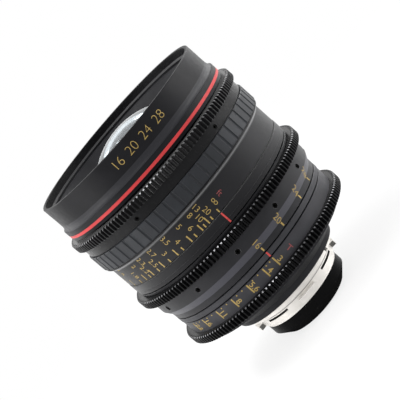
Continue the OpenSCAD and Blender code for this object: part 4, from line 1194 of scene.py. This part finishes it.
@dataclass
class MountEnd:
    """The rear body, the bayonet mount and the rear glasses."""

    shop: Workshop

    def dress(self) -> None:
        """Puts the finishes on the rear's nodes."""
        self.shop.dress({
            "rear_body": BODY_BLACK, "relay_cell": BORE_BLACK, "rear_glass_ring": BORE_BLACK,
            "relay_glass": INNER_GLASS, "relay_small_glass": INNER_GLASS, "rear_glass": INNER_GLASS,
            "mount_shim": BRASS, "bayonet_mount": STAINLESS, "mount_screws": BLACK_STEEL, "rear_tube": TUBE_BLACK})


# Studio


@dataclass(frozen=True)
class Softbox:
    """A soft lamp: its place, the lengths of its level and its other side, and its power in watts."""

    name: str
    place: Place
    width: float
    height: float
    power: float


@dataclass
class Studio:
    """The camera, the lamps, the pale floor and the white surroundings."""

    camera_place: Place = (-29.944 * MM, -699.849 * MM, 211.216 * MM)
    camera_aim: Place = (0.634 * MM, 0.0, 71.925 * MM)
    camera_roll: float = math.radians(49.2)
    camera_lens: float = 119.65
    floor_size: float = 12.0
    floor_paint: Colour = (0.9, 0.9, 0.9)
    floor_fade_near: float = 0.12
    floor_fade_far: float = 0.45
    floor_glow_near: float = 0.75
    white: float = 1.0
    fill: float = 0.55
    lamps: tuple[Softbox, ...] = (
        Softbox("left_box", (-0.93, -0.22, 0.35), 0.7, 0.7, 9.0),
        Softbox("right_box", (0.95, -0.12, 0.3), 0.7, 0.7, 10.0),
        Softbox("back_left_box", (-0.72, 0.65, 0.35), 0.7, 0.7, 2.5),
        Softbox("back_right_box", (0.75, 0.62, 0.35), 0.7, 0.7, 4.0),
        Softbox("top_box", (-0.25, -0.03, 1.1), 1.2, 0.26, 7.0))

    def _aim(self, name: str, data: bpy.types.ID, place: Place, roll: float = 0.0) -> bpy.types.Object:
        """Adds a camera or a lamp that faces the lens.

        Args:
            name: The object's name.
            data: The camera or the lamp.
            place: Its place, in metres.
            roll: Its turn about the line of sight, in radians.

        Returns:
            The new object.
        """
        thing = add_object(name, data)
        thing.location = place
        sight = Vector(self.camera_aim) - Vector(place)
        thing.rotation_mode = "QUATERNION"
        thing.rotation_quaternion = sight.to_track_quat("-Z", "Y") @ Quaternion((0, 0, 1), -roll)
        return thing

    def set_camera(self) -> None:
        """Places the camera at the photograph's viewing angle."""
        data = bpy.data.cameras.new("camera")
        data.lens = self.camera_lens
        bpy.context.scene.camera = self._aim("camera", data, self.camera_place, self.camera_roll)

    def set_world(self) -> None:
        """Makes the surroundings white to the camera, to metal and to glass."""
        world = bpy.data.worlds.new("studio")
        bpy.context.scene.world = world
        world.use_nodes = True
        sky = NodeTree(world.node_tree)
        strength = sky.add("ShaderNodeMapRange", Value=sky.looked_at(), To_Min=self.fill, To_Max=self.white)
        background = sky.add("ShaderNodeBackground", Color=(1, 1, 1, 1), Strength=strength.outputs[0])
        sky.add("ShaderNodeOutputWorld", Surface=background.outputs[0])

    def add_lamp(self, box: Softbox) -> None:
        """Adds a softbox that faces the lens.

        Args:
            box: The softbox.
        """
        data = bpy.data.lights.new(box.name, "AREA")
        data.shape = "RECTANGLE"
        data.size = box.width
        data.size_y = box.height
        data.energy = box.power
        self._aim(box.name, data, box.place)

    def add_floor(self) -> None:
        """Adds the pale floor, which fades to the white surroundings."""
        half = self.floor_size / 2
        corners = [(x, y, CAD_BOX[0].z) for x, y in ((-half, -half), (half, -half), (half, half), (-half, half))]
        mesh = bpy.data.meshes.new("floor")
        mesh.from_pydata(corners, [], [(0, 1, 2, 3)])
        g = Graph("FloorWhite")
        distance = g.add("ShaderNodeVectorMath", {"operation": "LENGTH"}, Vector=g.place)
        fade = g.add("ShaderNodeMapRange", Value=distance.outputs["Value"], From_Min=self.floor_fade_near,
                     From_Max=self.floor_fade_far, To_Min=self.floor_glow_near)
        paint = g.add("ShaderNodeBsdfDiffuse", Color=(*self.floor_paint, 1))
        glow = g.add("ShaderNodeEmission")
        mix = g.add("ShaderNodeMixShader", Fac=g.math("MULTIPLY", g.looked_at(), fade.outputs[0]))
        g.feed(mix.inputs[1], paint.outputs[0])
        g.feed(mix.inputs[2], glow.outputs[0])
        g.add("ShaderNodeOutputMaterial", Surface=mix.outputs[0])
        mesh.materials.append(g.material)
        add_object("floor", mesh)

    def build(self) -> None:
        """Sets up the whole studio."""
        self.set_camera()
        self.set_world()
        self.add_floor()
        for box in self.lamps:
            self.add_lamp(box)
        bpy.context.scene.view_settings.view_transform = "Standard"


def main() -> None:
    """Dresses the lens, adds its marks and small details, and sets up the studio."""
    logging.basicConfig(level=logging.INFO, format="%(message)s")
    shop = Workshop()
    row, stack = RoundRow(), RidgeStack()
    focus, zoom, iris = FocusControl(shop), ZoomControl(shop), IrisControl(shop)
    fixed, front = FixedBarrel(shop), FrontBarrel(shop)
    for assembly in (focus, zoom, iris, fixed, front, Optics(shop), MountEnd(shop)):
        assembly.dress()
    for assembly in (focus, zoom, iris, fixed, front):
        assembly.mark()
    zoom.rim_screws(row)
    front.ridge_bore(stack)
    Studio().build()


if __name__ == "__main__":
    main()
